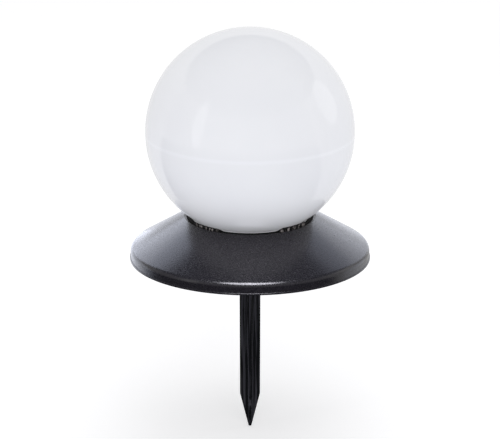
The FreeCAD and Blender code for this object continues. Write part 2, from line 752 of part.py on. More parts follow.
def battery_door():
    """Door with two cradles that hold the cell up."""
    solids = [door_outline(door_bottom, door_top)]
    for x in (-CRADLE_X, CRADLE_X):
        solids.append(block(CRADLE_THICKNESS, CRADLE_WIDTH, door_top - FUSE, cell_height, x, bay_y))
    seat = Part.makeCylinder(CELL_RADIUS + SEAT_GAP, bay_length,
                             FreeCAD.Vector(-bay_length / 2, bay_y, cell_height), FreeCAD.Vector(1, 0, 0))
    cuts = [seat]
    for x in (-door_screw_x, door_screw_x):
        sink = countersink(-door_bottom, -door_top, x, bay_y)
        cuts.append(sink.mirror(ORIGIN, UP))
    return join(solids).cut(cuts)


def door_gasket():
    cuts = [block(bay_length, bay_width, door_top, CHASSIS_BOTTOM, 0, bay_y)]
    cuts += [disc(SCREW_RADIUS + SCREW_CLEARANCE, door_top, CHASSIS_BOTTOM, x, bay_y)
             for x in (-door_screw_x, door_screw_x)]
    return door_outline(door_top, CHASSIS_BOTTOM).cut(cuts)


def door_screws():
    """Countersunk screws, put in from below."""
    return Part.Compound([
        countersunk_screw(SMALL_SCREW_LENGTH, -door_bottom, x, bay_y).mirror(ORIGIN, UP)
        for x in (-door_screw_x, door_screw_x)])


# ---- the switch

def push_button():
    """Button with a domed face below, a flange that keeps it in and a stem into the switch."""
    face = CHASSIS_BOTTOM - BUTTON_PROUD
    flange_seat = chassis_floor_top + SEAT_GAP
    flange_roof = flange_seat + BUTTON_FLANGE_THICKNESS
    flange_edge = BUTTON_RADIUS + BUTTON_FLANGE
    edge = BUTTON_FLANGE_THICKNESS
    button = spin(rounded([
        (0, face, 0),
        (BUTTON_RADIUS, face, edge),
        (BUTTON_RADIUS, flange_seat, 0),
        (flange_edge, flange_seat, 0),
        (flange_edge, flange_roof, 0),
        (BUTTON_STEM_RADIUS, flange_roof, 0),
        (BUTTON_STEM_RADIUS, flange_roof + BUTTON_STEM_LENGTH, 0),
        (0, flange_roof + BUTTON_STEM_LENGTH, 0)]))
    button.translate(FreeCAD.Vector(BUTTON_X, 0, 0))
    return button


def switch_body():
    """Latching switch; its mouth faces down to take the button's stem."""
    mouth_depth = BUTTON_STEM_LENGTH + BUTTON_TRAVEL
    body = block(SWITCH_SIDE, SWITCH_SIDE - 2 * SEAT_GAP, switch_bottom + SEAT_GAP,
                 switch_bottom + SWITCH_HEIGHT, BUTTON_X)
    mouth = disc(BUTTON_STEM_RADIUS + BUTTON_GAP, switch_bottom, switch_bottom + mouth_depth, BUTTON_X)
    return body.cut(mouth)


# ---- the driver electronics and the wiring

def driver_board():
    board = block(DRIVER_LENGTH, DRIVER_WIDTH, driver_bottom, driver_top, 0, driver_y)
    return board.cut([disc(SCREW_RADIUS + SCREW_CLEARANCE, driver_bottom, driver_top, x, y)
                      for x, y in driver_standoff_places()])


def socket_places():
    """Where the three wire pairs plug into the driver board."""
    x = DRIVER_LENGTH / 2 - SOCKET_LENGTH
    return [(-x, driver_y - STANDOFF_INSET), (0.0, driver_y - STANDOFF_INSET), (x, driver_y + STANDOFF_INSET)]


def driver_parts():
    """Inductor, reservoir capacitor and the three wire sockets on the driver board."""
    row_y = driver_y + 2 * COIL_RADIUS
    parts = [disc(COIL_RADIUS, driver_top, driver_top + COIL_HEIGHT, -COIL_RADIUS, row_y),
             disc(CAPACITOR_RADIUS, driver_top, driver_top + CAPACITOR_HEIGHT, 2 * CAPACITOR_RADIUS, row_y)]
    parts += [block(SOCKET_LENGTH, SOCKET_WIDTH, driver_top, socket_top, x, y) for x, y in socket_places()]
    return Part.Compound(parts)


def board_screws():
    screws = []
    for x, y in driver_standoff_places():
        head = disc(SCREW_HEAD_RADIUS, driver_top, driver_top + PAN_HEAD_HEIGHT, x, y)
        shank = disc(SCREW_RADIUS, driver_top - SMALL_SCREW_LENGTH, driver_top + FUSE, x, y)
        screws.append(join([head, shank]))
    return Part.Compound(screws)


def panel_leads():
    """From the back of the panel through the deck to the middle socket."""
    x, y = socket_places()[1]
    return wire_pair([(x, 0, panel_bottom), (x, 0, wire_level), (x, y, wire_level), (x, y, socket_top)], 1, 0)


def led_leads():
    """From the lamp board through the deck to the socket on the right."""
    x, y = socket_places()[2]
    hole_x, hole_y = led_wire_place()
    return wire_pair([(hole_x, hole_y, deck_top), (hole_x, hole_y, wire_level),
                      (x, y, wire_level), (x, y, socket_top)], 1, 0)


def battery_leads():
    """One wire from each contact tab to the socket on the left."""
    x, y = socket_places()[0]
    tab_top = bay_roof + CONTACT_TAB_RISE
    leads = []
    for side, tab_x in contact_places():
        plug_x = x + side * WIRE_PITCH / 2
        level = wire_level - side * WIRE_PITCH
        route = [(tab_x, bay_y, tab_top), (tab_x, bay_y, level), (plug_x, y, level), (plug_x, y, socket_top)]
        leads.append(rod(route, WIRE_RADIUS, WIRE_BEND))
    return Part.Compound(leads)


# ---- the ground spike

def cross_wire(width, thickness, fillet, height):
    """Outline of the cross section, with its four inner corners rounded."""
    half, fin = width / 2, thickness / 2
    dip = fin + fillet * (1 - math.sqrt(0.5))
    corners = [(half, fin), (fin + fillet, fin), (dip, dip), (fin, fin + fillet), (fin, half), (-fin, half)]
    tip, root, dent, rise, end, next_tip = [FreeCAD.Vector(x, y, height) for x, y in corners]
    quarter = Part.Wire([Part.makeLine(tip, root), Part.Arc(root, dent, rise).toShape(),
                         Part.makeLine(rise, end), Part.makeLine(end, next_tip)])
    return Part.Wire([edge for copy in around(quarter, FIN_COUNT) for edge in copy.Edges])


def ground_spike():
    """Cross-section spike with a seat flange and the keyed stem that plugs into the chassis."""
    flange_under = stem_bottom - SPIKE_FLANGE_THICKNESS
    blade = Part.makeLoft([
        cross_wire(SPIKE_WIDTH, FIN_THICKNESS, FIN_FILLET, flange_under + FUSE),
        cross_wire(SPIKE_SHOULDER_WIDTH, FIN_SHOULDER_THICKNESS, FIN_SHOULDER_FILLET, -SPIKE_SHOULDER_DEPTH),
        cross_wire(SPIKE_TIP_WIDTH, FIN_TIP_THICKNESS, FIN_TIP_FILLET, -SPIKE_DEPTH)], True, True)
    flange = disc(spike_flange_radius, flange_under, stem_bottom)
    stem = spike_stem(0, stem_bottom - FUSE, stem_top)
    point = Part.makeCone(STEM_RADIUS + STEM_CHAMFER, STEM_RADIUS - STEM_CHAMFER, 2 * STEM_CHAMFER,
                          FreeCAD.Vector(0, 0, stem_top - 2 * STEM_CHAMFER))
    lower = disc(STEM_RADIUS, stem_bottom - FUSE, stem_top - STEM_CHAMFER)
    stem = stem.common(join([lower, point]))
    return join([blade, flange, stem])


SUB_PARTS = [
    globe_upper, globe_lower, neck_seal,
    base_cover, bayonet_collar, collar_screws, chassis_gasket, chassis,
    light_deck, deck_screws, led_board, leds, panel_pad, solar_panel,
    battery, contact_plates, contact_spring, battery_door, door_gasket, door_screws,
    push_button, switch_body, driver_board, driver_parts, board_screws,
    panel_leads, led_leads, battery_leads,
    ground_spike,
]

os.makedirs("parts", exist_ok=True)
for make in SUB_PARTS:
    shape = make()
    solids = shape.Solids
    print(make.__name__, len(solids), shape.isValid(), round(sum(solid.Volume for solid in solids), 1))
    shape.exportStep(os.path.join("parts", make.__name__ + ".step"))
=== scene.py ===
import json
import math

import bmesh
import bpy
import numpy as np
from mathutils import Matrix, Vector


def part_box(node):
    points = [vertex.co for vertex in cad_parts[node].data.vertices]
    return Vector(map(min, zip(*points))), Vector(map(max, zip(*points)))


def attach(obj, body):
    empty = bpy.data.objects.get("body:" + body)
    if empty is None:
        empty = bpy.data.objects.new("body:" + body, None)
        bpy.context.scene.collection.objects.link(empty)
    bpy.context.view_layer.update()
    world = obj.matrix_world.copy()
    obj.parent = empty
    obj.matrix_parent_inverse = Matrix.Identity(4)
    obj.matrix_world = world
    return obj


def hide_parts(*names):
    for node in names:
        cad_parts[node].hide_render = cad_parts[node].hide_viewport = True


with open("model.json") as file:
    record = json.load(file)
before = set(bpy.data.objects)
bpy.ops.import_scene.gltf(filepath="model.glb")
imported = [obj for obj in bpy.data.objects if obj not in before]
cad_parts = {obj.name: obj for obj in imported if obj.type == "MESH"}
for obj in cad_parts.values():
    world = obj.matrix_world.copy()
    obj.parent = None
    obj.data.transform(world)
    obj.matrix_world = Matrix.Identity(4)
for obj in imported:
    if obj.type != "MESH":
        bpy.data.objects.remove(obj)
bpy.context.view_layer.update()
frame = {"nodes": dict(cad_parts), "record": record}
print("frame loaded:", len(frame["nodes"]), "nodes")

mm = 0.001  # lengths in the dictionaries below are millimetres, the scene is in metres
nearAxis = 0.02  # outlines that end at the axis stop this far from it, and the pinhole is closed
sharpest = 1e-4  # the rounding of a corner that is given as 0
noiseSpan = (0.3, 0.7)  # most of a noise pattern's values lie between these


# the values that a dictionary holds under these names
def pick(setup, *names):
    return [setup[name] for name in names]


# turns an sRGB hex colour into the linear one that the shaders take
def colour(hexCode):
    channels = np.array([int(hexCode[i:i + 2], 16) for i in (1, 3, 5)]) / 255
    linear = np.where(channels <= 0.04045, channels / 12.92, ((channels + 0.055) / 1.055) ** 2.4)
    return (*linear.tolist(), 1.0)


# points on a circle in the profile plane: centre + radius * (cos, sin) of equally spaced angles
def arcPoints(centre, radius, first, last, count):
    angles = np.radians(np.linspace(first, last, count))
    return np.stack([centre[0] + radius * np.cos(angles), centre[1] + radius * np.sin(angles)], 1)


# every corner (x, z, rounding) becomes the arc tangent to its two sides: the arc's centre lies on
# the corner's bisector, and its points swing evenly from one touching point to the other
def roundedOutline(corners, steps=5):
    corners = np.array(corners, float)
    points, rounding = corners[:, :2], np.maximum(corners[:, 2:], sharpest)
    back = np.roll(points, 1, 0) - points
    ahead = np.roll(points, -1, 0) - points
    back /= np.linalg.norm(back, axis=1, keepdims=True)
    ahead /= np.linalg.norm(ahead, axis=1, keepdims=True)
    half = np.arccos(np.clip((back * ahead).sum(1, keepdims=True), -1, 1)) / 2
    bisector = (back + ahead) / np.linalg.norm(back + ahead, axis=1, keepdims=True)
    centre = points + bisector * rounding / np.sin(half)
    first = (points + back * rounding / np.tan(half) - centre)[:, None]
    last = (points + ahead * rounding / np.tan(half) - centre)[:, None]
    swing = (np.pi - 2 * half)[:, None]
    share = np.linspace(0, 1, steps)[None, :, None]
    arc = (first * np.sin((1 - share) * swing) + last * np.sin(share * swing)) / np.sin(swing)
    return (centre[:, None] + arc).reshape(-1, 2)


# each outline point (r, z) is carried round the z axis: (r cos a, r sin a, z)
def turnedGrid(outline, steps):
    angles = np.linspace(0, 2 * np.pi, steps, endpoint=False)
    radius, height = np.asarray(outline, float).T
    return np.stack([radius[:, None] * np.cos(angles), radius[:, None] * np.sin(angles),
                     np.repeat(height[:, None], steps, 1)], -1)


# a section (r, z) carried along a helix: z rises by lead for each whole turn of the angle
def helixGrid(section, first, last, lead, height, steps):
    angles = np.linspace(first, last, steps)[:, None]
    radius, rise = np.asarray(section, float).T
    turn = np.radians(angles)
    return np.stack([radius * np.cos(turn), radius * np.sin(turn), height + rise + lead * angles / 360], -1)


# a flat outline (x, z) moved to either side of its plane by half the thickness
def plateGrid(outline, thickness):
    side = np.full((len(outline), 1), thickness / 2)
    flat = np.hstack([outline[:, :1], side * 0, outline[:, 1:]])
    shift = np.hstack([side * 0, side, side * 0])
    return np.stack([flat - shift, flat + shift])


# rings of a rectangle with round corners: each profile point (inset, z) shrinks the ring by its inset
def insetGrid(halfX, halfY, corner, profile, steps=6):
    inset, height = np.asarray(profile, float).T
    angles = np.radians(np.linspace(0, 360, 4 * steps, endpoint=False) + 45 / steps)
    cos, sin = np.cos(angles), np.sin(angles)
    radius = np.maximum(corner - inset, nearAxis)[:, None]
    x = np.sign(cos) * (halfX - inset[:, None] - radius) + radius * cos
    y = np.sign(sin) * (halfY - inset[:, None] - radius) + radius * sin
    return np.stack([x, y, np.repeat(height[:, None], len(angles), 1)], -1)


# a circle carried along a path: path + radius * (cos a, sin a) in the plane square to its direction
def tubeGrid(path, outward, radius, sides=14):
    ahead = np.gradient(path, axis=0)
    ahead /= np.linalg.norm(ahead, axis=1, keepdims=True)
    first = outward - (outward * ahead).sum(1, keepdims=True) * ahead
    first /= np.linalg.norm(first, axis=1, keepdims=True)
    second = np.cross(ahead, first)
    angles = np.linspace(0, 2 * np.pi, sides, endpoint=False)[None, :, None]
    return path[:, None] + radius * (np.cos(angles) * first[:, None] + np.sin(angles) * second[:, None])


# turns every point about z: x' = x cos a - y sin a, y' = x sin a + y cos a
def turned(grid, angle):
    cos, sin = math.cos(math.radians(angle)), math.sin(math.radians(angle))
    return grid @ np.array([[cos, sin, 0], [-sin, cos, 0], [0, 0, 1]])


# quads between neighbouring rows and columns: the columns run all the way round, and rows that are
# closed also join the last one to the first
def gridFaces(rows, columns, closeRows):
    row = np.arange(rows if closeRows else rows - 1)[:, None]
    column = np.arange(columns)
    nextRow, nextColumn = (row + 1) % rows, (column + 1) % columns
    corners = [row * columns + column, nextRow * columns + column,
               nextRow * columns + nextColumn, row * columns + nextColumn]
    return np.stack(corners, -1).reshape(-1, 4)


# a new object in the scene
def addObject(name, data):
    thing = bpy.data.objects.new(name, data)
    bpy.context.scene.collection.objects.link(thing)
    return thing


# one object from several grids in millimetres: doubles merged, open ends closed, faces turned outwards;
# edges sharper than the angle stay sharp
def makePiece(name, grids, body, slot, nodes, material=None, sharpAngle=28):
    points, faces, start = [], [], 0
    for grid, closeRows in grids:
        rows, columns = grid.shape[:2]
        points.append(grid.reshape(-1, 3) * mm)
        faces.append(gridFaces(rows, columns, closeRows) + start)
        start += rows * columns
    mesh = bpy.data.meshes.new(name)
    mesh.from_pydata(np.concatenate(points), [], np.concatenate(faces))
    shape = bmesh.new()
    shape.from_mesh(mesh)
    bmesh.ops.remove_doubles(shape, verts=shape.verts, dist=1e-6)
    openEdges = [edge for edge in shape.edges if edge.is_boundary]
    bmesh.ops.holes_fill(shape, edges=openEdges)
    bmesh.ops.recalc_face_normals(shape, faces=shape.faces)
    shape.to_mesh(mesh)
    shape.free()
    mesh.shade_smooth()
    mesh.set_sharp_from_angle(angle=math.radians(sharpAngle))
    piece = addObject(name, mesh)
    mesh.materials.append(material or finishes[slot])
    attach(piece, body)
    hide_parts(*nodes)
    return piece


# joins other nodes' sockets to this one's; a node given whole stands for its first output
def feed(tree, node, links):
    for name, source in links.items():
        whole = isinstance(source, bpy.types.Node)
        tree.links.new(source.outputs[0] if whole else source, node.inputs[name])


# adds a shader node; settings are its own properties or the values of its sockets
def addNode(tree, kind, settings={}, links={}):
    node = tree.nodes.new("ShaderNode" + kind)
    for name, value in settings.items():
        if name == "ramp":
            for element, (place, tone) in zip(node.color_ramp.elements, value):
                element.position, element.color = place, tone
        elif isinstance(name, int) or name in node.inputs:
            node.inputs[name].default_value = value
        else:
            setattr(node, name, value)
    feed(tree, node, links)
    return node


# a material with the values that are the same all over it, and the place on the object for its patterns
def newFinish(name, shaderValues):
    material = bpy.data.materials.new(name)
    material.use_nodes = True
    tree = material.node_tree
    shader = tree.nodes["Principled BSDF"]
    for socket, value in shaderValues.items():
        shader.inputs[socket].default_value = value
    return material, tree, shader, addNode(tree, "TexCoord").outputs["Object"]


# patches of a look's two tones; "ends" are where in the noise each of them is reached
def mottled(tree, place, look, detail=2.0):
    noise = addNode(tree, "TexNoise", {"Scale": 1 / (look["patch"] * mm), "Detail": detail}, {"Vector": place})
    tones = zip(look.get("ends", noiseSpan), map(colour, look["tones"]))
    return addNode(tree, "ValToRGB", {"ramp": tones}, {"Fac": noise})


# a look's grain: it swings the roughness between the two values of "rough" and raises the skin by "depth"
def grained(tree, place, look, detail=2.0):
    noise = addNode(tree, "TexNoise", {"Scale": 1 / (look["grain"] * mm), "Detail": detail}, {"Vector": place})
    (first, last), (smooth, rough) = noiseSpan, look["rough"]
    shine = addNode(tree, "MapRange", {"From Min": first, "From Max": last, "To Min": smooth, "To Max": rough},
                    {"Value": noise})
    return shine, addNode(tree, "Bump", {"Distance": look["depth"] * mm}, {"Height": noise})


# finishes that differ only in their numbers: "patch", "grain" and "depth" are millimetres, and "stretch"
# draws the pattern out along an axis
looks = {
    # recycled polypropylene, moulded in a polished tool: semi-gloss black, with greyer streaks drawn along the
    # spike, partly flow streaks and partly a painted reflection of its glossy faces
    "spikePlastic": {"tones": ("#020203", "#35343A"), "ends": (0.44, 0.58), "patch": 2.2, "grain": 0.9,
                     "stretch": (1, 1, 30), "depth": 0.03, "rough": (0.14, 0.3), "shader": {"IOR": 1.49}},
    # ABS, moulded in a plain tool: dull black
    "blackPlastic": {"tones": ("#0D0D0F", "#16161A"), "patch": 12, "grain": 0.6, "depth": 0.02,
                     "rough": (0.42, 0.55), "shader": {"IOR": 1.49}},
    # EPDM, pressed: almost without shine
    "blackRubber": {"tones": ("#0B0B0B", "#151414"), "patch": 8, "grain": 0.5, "depth": 0.02,
                    "rough": (0.7, 0.85), "shader": {"IOR": 1.52}},
    # silicone, pressed: soft grey
    "buttonRubber": {"tones": ("#3C3C41", "#4A4A50"), "patch": 4, "grain": 0.5, "depth": 0.02,
                     "rough": (0.6, 0.75), "shader": {"IOR": 1.41}},
    # polystyrene with white pigment, moulded: satin, sends the lamps' light up
    "whitePlastic": {"tones": ("#E2E2E0", "#ECECEA"), "patch": 15, "grain": 0.8, "depth": 0.01,
                     "rough": (0.3, 0.4), "shader": {"IOR": 1.49}},
    # polyethylene foam tape: open cells
    "foamPad": {"tones": ("#CFCDC4", "#E0DED6"), "patch": 1.2, "grain": 0.7, "depth": 0.15,
                "rough": (0.85, 0.95), "shader": {"IOR": 1.4}},
    # epoxy and nylon, moulded: dark and even
    "componentPlastic": {"tones": ("#1D1D20", "#2B2B2E"), "patch": 3, "grain": 0.3, "depth": 0.01,
                         "rough": (0.35, 0.5), "shader": {"IOR": 1.55}},
    # PVC, extruded over the wire: smooth, a little shiny
    "wireRed": {"tones": ("#8E1410", "#A81B14"), "patch": 6, "grain": 0.4, "depth": 0.01,
                "rough": (0.38, 0.48), "shader": {"IOR": 1.53}},
    "wireWhite": {"tones": ("#D8D7D0", "#E6E5DF"), "patch": 6, "grain": 0.4, "depth": 0.01,
                  "rough": (0.38, 0.48), "shader": {"IOR": 1.53}},
    # PVC film, shrunk over the cell: glossy with faint wrinkles
    "batteryWrap": {"tones": ("#1C6A3C", "#247A48"), "patch": 9, "grain": 3.0, "depth": 0.04,
                    "rough": (0.18, 0.28), "shader": {"IOR": 1.54}},
    # stainless steel, cold-headed and rolled: bright with fine lines
    "screwSteel": {"tones": ("#8C8C8E", "#B4B3B2"), "patch": 0.25, "grain": 0.25, "stretch": (1, 1, 6),
                   "depth": 0.002, "rough": (0.22, 0.4), "shader": {"Metallic": 1.0}},
    # spring steel, nickel-plated: warmer and smoother
    "contactSteel": {"tones": ("#A8A69C", "#C8C6BC"), "patch": 0.3, "grain": 0.3, "stretch": (1, 12, 1),
                     "depth": 0.002, "rough": (0.16, 0.3), "shader": {"Metallic": 1.0}},
}


def makeFinish(name):
    look = looks[name]
    material, tree, shader, place = newFinish(name, look["shader"])
    shrink = tuple(1 / share for share in look.get("stretch", (1, 1, 1)))
    place = addNode(tree, "Mapping", {"Scale": shrink}, {"Vector": place})
    shine, bump = grained(tree, place, look)
    feed(tree, shader, {"Base Color": mottled(tree, place, look), "Roughness": shine, "Normal": bump})
    return material


# opal acrylic, injection moulded and glossy: cool white all through, with faint flow tones and a skin so
# smooth that the room shows in it with sharp edges; where the halves lap, the doubled wall looks whiter; a
# faint even glow (emission) is painted into the shell for light that spreads inside it, so its shaded underside
# doesn't go grey
opalLook = {"tones": ("#E3E4E9", "#E7E8EC"), "ends": (0.2, 0.8), "patch": 70, "wave": 45, "waveDepth": 0.05,
            "lap": "#E9EAEF", "lapHeight": 123.8, "lapReach": 3.2,
            "shader": {"Roughness": 0.03, "IOR": 1.49, "Emission Strength": 0.06}}


def opalAcrylic():
    material, tree, shader, place = newFinish("opalAcrylic", opalLook["shader"])
    height = addNode(tree, "SeparateXYZ", {}, {0: place}).outputs["Z"]
    offset = addNode(tree, "Math", {"operation": "SUBTRACT", 1: opalLook["lapHeight"] * mm}, {0: height})
    distance = addNode(tree, "Math", {"operation": "ABSOLUTE"}, {0: offset})
    doubled = addNode(tree, "MapRange", {"interpolation_type": "SMOOTHSTEP", "From Max": 0.0,
                                         "From Min": opalLook["lapReach"] * mm}, {"Value": distance})
    mix = addNode(tree, "Mix", {"data_type": "RGBA", 7: colour(opalLook["lap"])},
                  {0: doubled, 6: mottled(tree, place, opalLook)})
    waves = addNode(tree, "TexNoise", {"Scale": 1 / (opalLook["wave"] * mm), "Detail": 0.0}, {"Vector": place})
    bump = addNode(tree, "Bump", {"Distance": opalLook["waveDepth"] * mm}, {"Height": waves})
    feed(tree, shader, {"Base Color": mix.outputs[2], "Normal": bump})
    return material


# polycarbonate blend dyed anthracite and moulded in a spark-eroded tool: satin, with a fine even grain that
# breaks highlights into sparkles; the real grain is 0.3 mm, drawn at 1.3 mm so that it shows; the recess,
# inside the radius "recess", is dull
coverLook = {"tones": ("#08070A", "#110F13"), "ends": (0.35, 0.65), "patch": 1.6, "grain": 1.3, "depth": 0.05,
             "rough": (0.15, 0.34), "recess": 60.6, "recessEnd": 61.4, "dull": 0.8, "shader": {"IOR": 1.47}}


def anthraciteCover():
    material, tree, shader, place = newFinish("anthraciteCover", coverLook["shader"])
    shine, bump = grained(tree, place, coverLook, 1.0)
    flat = addNode(tree, "VectorMath", {"operation": "MULTIPLY", 1: (1, 1, 0)}, {0: place})
    radius = addNode(tree, "VectorMath", {"operation": "LENGTH"}, {0: flat})
    dull = addNode(tree, "MapRange",
                   {"From Min": coverLook["recess"] * mm, "From Max": coverLook["recessEnd"] * mm,
                    "To Min": coverLook["dull"], "To Max": 0.0}, {"Value": radius.outputs["Value"]})
    rough = addNode(tree, "Math", {"operation": "MAXIMUM"}, {0: shine, 1: dull})
    tones = mottled(tree, place, coverLook, 3.0)
    feed(tree, shader, {"Base Color": tones, "Roughness": rough, "Normal": bump})
    return material


# soft rubber, pressed: black and dull, with pale grey painted in specks on the crests where the lip is gathered
# into pleats, a painted reflection of the white globe in them
sealLook = {"rubber": "#060505", "dust": "#C6BEBD", "speck": 2.2, "ends": (0.35, 0.62),
            "shader": {"Roughness": 0.65, "IOR": 1.52, "Specular IOR Level": 0.2}}


def pleatedRubber():
    material, tree, shader, place = newFinish("pleatedRubber", sealLook["shader"])
    pleat = addNode(tree, "Attribute", {"attribute_name": "pleat"}).outputs["Fac"]
    specks = addNode(tree, "TexNoise", {"Scale": 1 / (sealLook["speck"] * mm), "Detail": 3.0},
                     {"Vector": place})
    first, last = sealLook["ends"]
    patchy = addNode(tree, "MapRange", {"From Min": first, "From Max": last}, {"Value": specks})
    share = addNode(tree, "Math", {"operation": "MULTIPLY"}, {0: pleat, 1: patchy})
    ramp = [(0, colour(sealLook["rubber"])), (1, colour(sealLook["dust"]))]
    feed(tree, shader, {"Base Color": addNode(tree, "ValToRGB", {"ramp": ramp}, {"Fac": share})})
    return material


# finishes with rows of plates between narrow lines: "shift" is how far each row of plates is offset, "soft"
# how gently a plate meets its line, and "depth" how far the lines lie below the plates
board = {"shift": 0.5, "soft": 0.2, "depth": 0.03, "shader": {"Roughness": 0.28, "IOR": 1.52}}
plateLooks = {
    # epoxy-coated boards: solder mask over copper, with the tracks just showing as a second tone
    "whiteBoard": {"plates": ("#E9E9E4", "#E9E9E4"), "line": "#DADAD2", "width": 0.3, "length": 6.0,
                   "row": 2.0, **board},
    "greenBoard": {"plates": ("#0E4C2A", "#0E4C2A"), "line": "#17643A", "width": 0.35, "length": 9.0,
                   "row": 1.6, **board},
    # monocrystalline cells under clear resin: near-black blue strips between thin silver lines
    "solarCells": {"plates": ("#0A1128", "#121C3A"), "line": "#9FA6B4", "width": 0.35, "length": 30.0,
                   "row": 15.0, "shift": 0.0, "soft": 0.1,
                   "shader": {"Roughness": 0.22, "IOR": 1.5, "Coat Weight": 1.0, "Coat Roughness": 0.05}},
}


def plateFinish(name):
    look = plateLooks[name]
    material, tree, shader, place = newFinish(name, look["shader"])
    first, second = look["plates"]
    rows = addNode(tree, "TexBrick",
                   {"offset": look["shift"], "Scale": 1.0, "Color1": colour(first), "Color2": colour(second),
                    "Mortar": colour(look["line"]), "Mortar Size": look["width"] * mm,
                    "Mortar Smooth": look["soft"], "Brick Width": look["length"] * mm,
                    "Row Height": look["row"] * mm}, {"Vector": place})
    feed(tree, shader, {"Base Color": rows})
    if "depth" in look:
        bump = addNode(tree, "Bump", {"Distance": look["depth"] * mm}, {"Height": rows.outputs["Fac"]})
        feed(tree, shader, {"Normal": bump})
    return material


# yellow phosphor in clear silicone, poured into each lamp's cup: cloudy, with a wet shine
phosphorLook = {"tones": ("#D79A22", "#E9BE4E"), "patch": 0.6, "shader": {"Roughness": 0.18, "IOR": 1.42}}


def ledPhosphor():
    material, tree, shader, place = newFinish("ledPhosphor", phosphorLook["shader"])
    feed(tree, shader, {"Base Color": mottled(tree, place, phosphorLook)})
    return material


# the record's name for a finish: blackPlastic is black_plastic there
def slotName(material):
    return "".join("_" + letter.lower() if letter.isupper() else letter for letter in material.name)


made = [opalAcrylic(), anthraciteCover(), ledPhosphor()]
made += [makeFinish(name) for name in looks] + [plateFinish(name) for name in plateLooks]
finishes = {slotName(material): material for material in made}
for part in frame["record"]["subparts"]:
    node = frame["nodes"][part["node"]]
    node.data.materials.clear()
    node.data.materials.append(finishes[part["material_slot"]])
print("finishes given:", len(finishes))


# a node's lowest and highest corners as the frame gives them, in millimetres
def cadSpan(node):
    low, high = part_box(node)
    return np.round(np.array(low) / mm, 2), np.round(np.array(high) / mm, 2)


upperLow, upperHigh = cadSpan("globe_upper")
globe = {"radius": round(upperHigh[0], 1), "wall": 2.2, "seam": upperLow[2], "lapHeight": 4.0, "lapWall": 1.05,
         "bondGap": 0.1, "edge": 0.03, "steps": 256, "upperSteps": 90, "lowerSteps": 70, "innerSteps": 40,
         "lapSteps": 4}
globe["middle"] = upperHigh[2] - globe["radius"]
neck = {"radius": 55.0, "wall": 2.5, "bottom": cadSpan("globe_lower")[0][2], "flangeReach": 4.2,
        "flangeBottom": 39.4, "flangeTop": 41.0, "edge": 0.3, "edgeSteps": 4}
lugs = {"count": 4, "angle": 45.0, "span": 28.0, "radius": 58.0, "height": 2.6, "taper": 0.9, "play": 0.3,
        "lead": 24.0, "face": 31.0, "rootDepth": 0.3, "steps": 24}


# an arc of a sphere about the globe's middle, from one height to another: the angle at which a sphere
# reaches a height is the arcsine of the height above the middle over the radius; inset draws it further in
def sphereArc(radius, first, last, count, inset=0):
    share = np.clip((np.array([first, last]) - globe["middle"]) / radius, -1, 1)
    return arcPoints((0, globe["middle"]), radius - inset, *np.degrees(np.arcsin(share)), count)


# the outline runs down the outer sphere to the seam and back up the inner one, stepping out over the lap:
# middle + radius * (cos a, sin a) with a from the height that each arc reaches; it is turned round the axis
def globeUpper():
    outer, seam, edge, middle = pick(globe, "radius", "seam", "edge", "middle")
    inner = outer - globe["wall"]
    rebate = inner + globe["lapWall"] + globe["bondGap"]
    lapTop = seam + globe["lapHeight"] + globe["bondGap"]
    outline = np.concatenate([
        sphereArc(outer, middle + outer, seam + edge, globe["upperSteps"]),
        sphereArc(outer, seam, seam, 1, edge),
        sphereArc(rebate, seam, lapTop, globe["lapSteps"]),
        sphereArc(inner, lapTop, middle + inner, globe["innerSteps"])])
    makePiece("globeUpper", [(turnedGrid(outline, globe["steps"]), False)], "globe", "opal_acrylic",
              ["globe_upper"])


# as the upper half, with a step inwards for the lap; the neck and its flange are straight runs with round
# corners, and each lug is a four-sided section carried along the thread's helix
def globeLower():
    outer, seam, edge, middle = pick(globe, "radius", "seam", "edge", "middle")
    inner = outer - globe["wall"]
    spigot = inner + globe["lapWall"]
    spigotTop = seam + globe["lapHeight"]
    wall, bottom, flange, flangeTop = pick(neck, "radius", "bottom", "flangeBottom", "flangeTop")
    bore, reach, neckEdge = wall - neck["wall"], wall + neck["flangeReach"], neck["edge"]
    neckTop, boreTop = middle - math.sqrt(outer ** 2 - wall ** 2), middle - math.sqrt(inner ** 2 - bore ** 2)
    neckOutline = roundedOutline([
        (bore, boreTop, 0), (bore, bottom, neckEdge), (wall, bottom, neckEdge), (wall, flange, 0),
        (reach, flange, neckEdge), (reach, flangeTop, neckEdge), (wall, flangeTop, 0),
        (wall, neckTop, 0)], neck["edgeSteps"])
    outline = np.concatenate([
        neckOutline[neck["edgeSteps"]:],  # the bore's top is the inner arc's last point
        sphereArc(outer, neckTop, seam - edge, globe["lowerSteps"]),
        sphereArc(outer, seam, seam, 1, edge),
        sphereArc(spigot, seam, spigotTop, globe["lapSteps"]),
        sphereArc(inner, spigotTop, boreTop, globe["innerSteps"])])
    root, tip, play, height = wall - lugs["rootDepth"], lugs["radius"], lugs["play"], lugs["height"]
    section = [(root, -play), (tip, -play), (tip, lugs["taper"] - height), (root, -height)]
    lug = helixGrid(section, -lugs["span"] / 2, lugs["span"] / 2, lugs["lead"], lugs["face"], lugs["steps"])
    grids = [(turnedGrid(outline, globe["steps"]), True)]
    grids += [(turned(lug, lugs["angle"] + i * 360 / lugs["count"]), False) for i in range(lugs["count"])]
    makePiece("globeLower", grids, "globe", "opal_acrylic", ["globe_lower"])


globeUpper()
globeLower()
print("globe made")


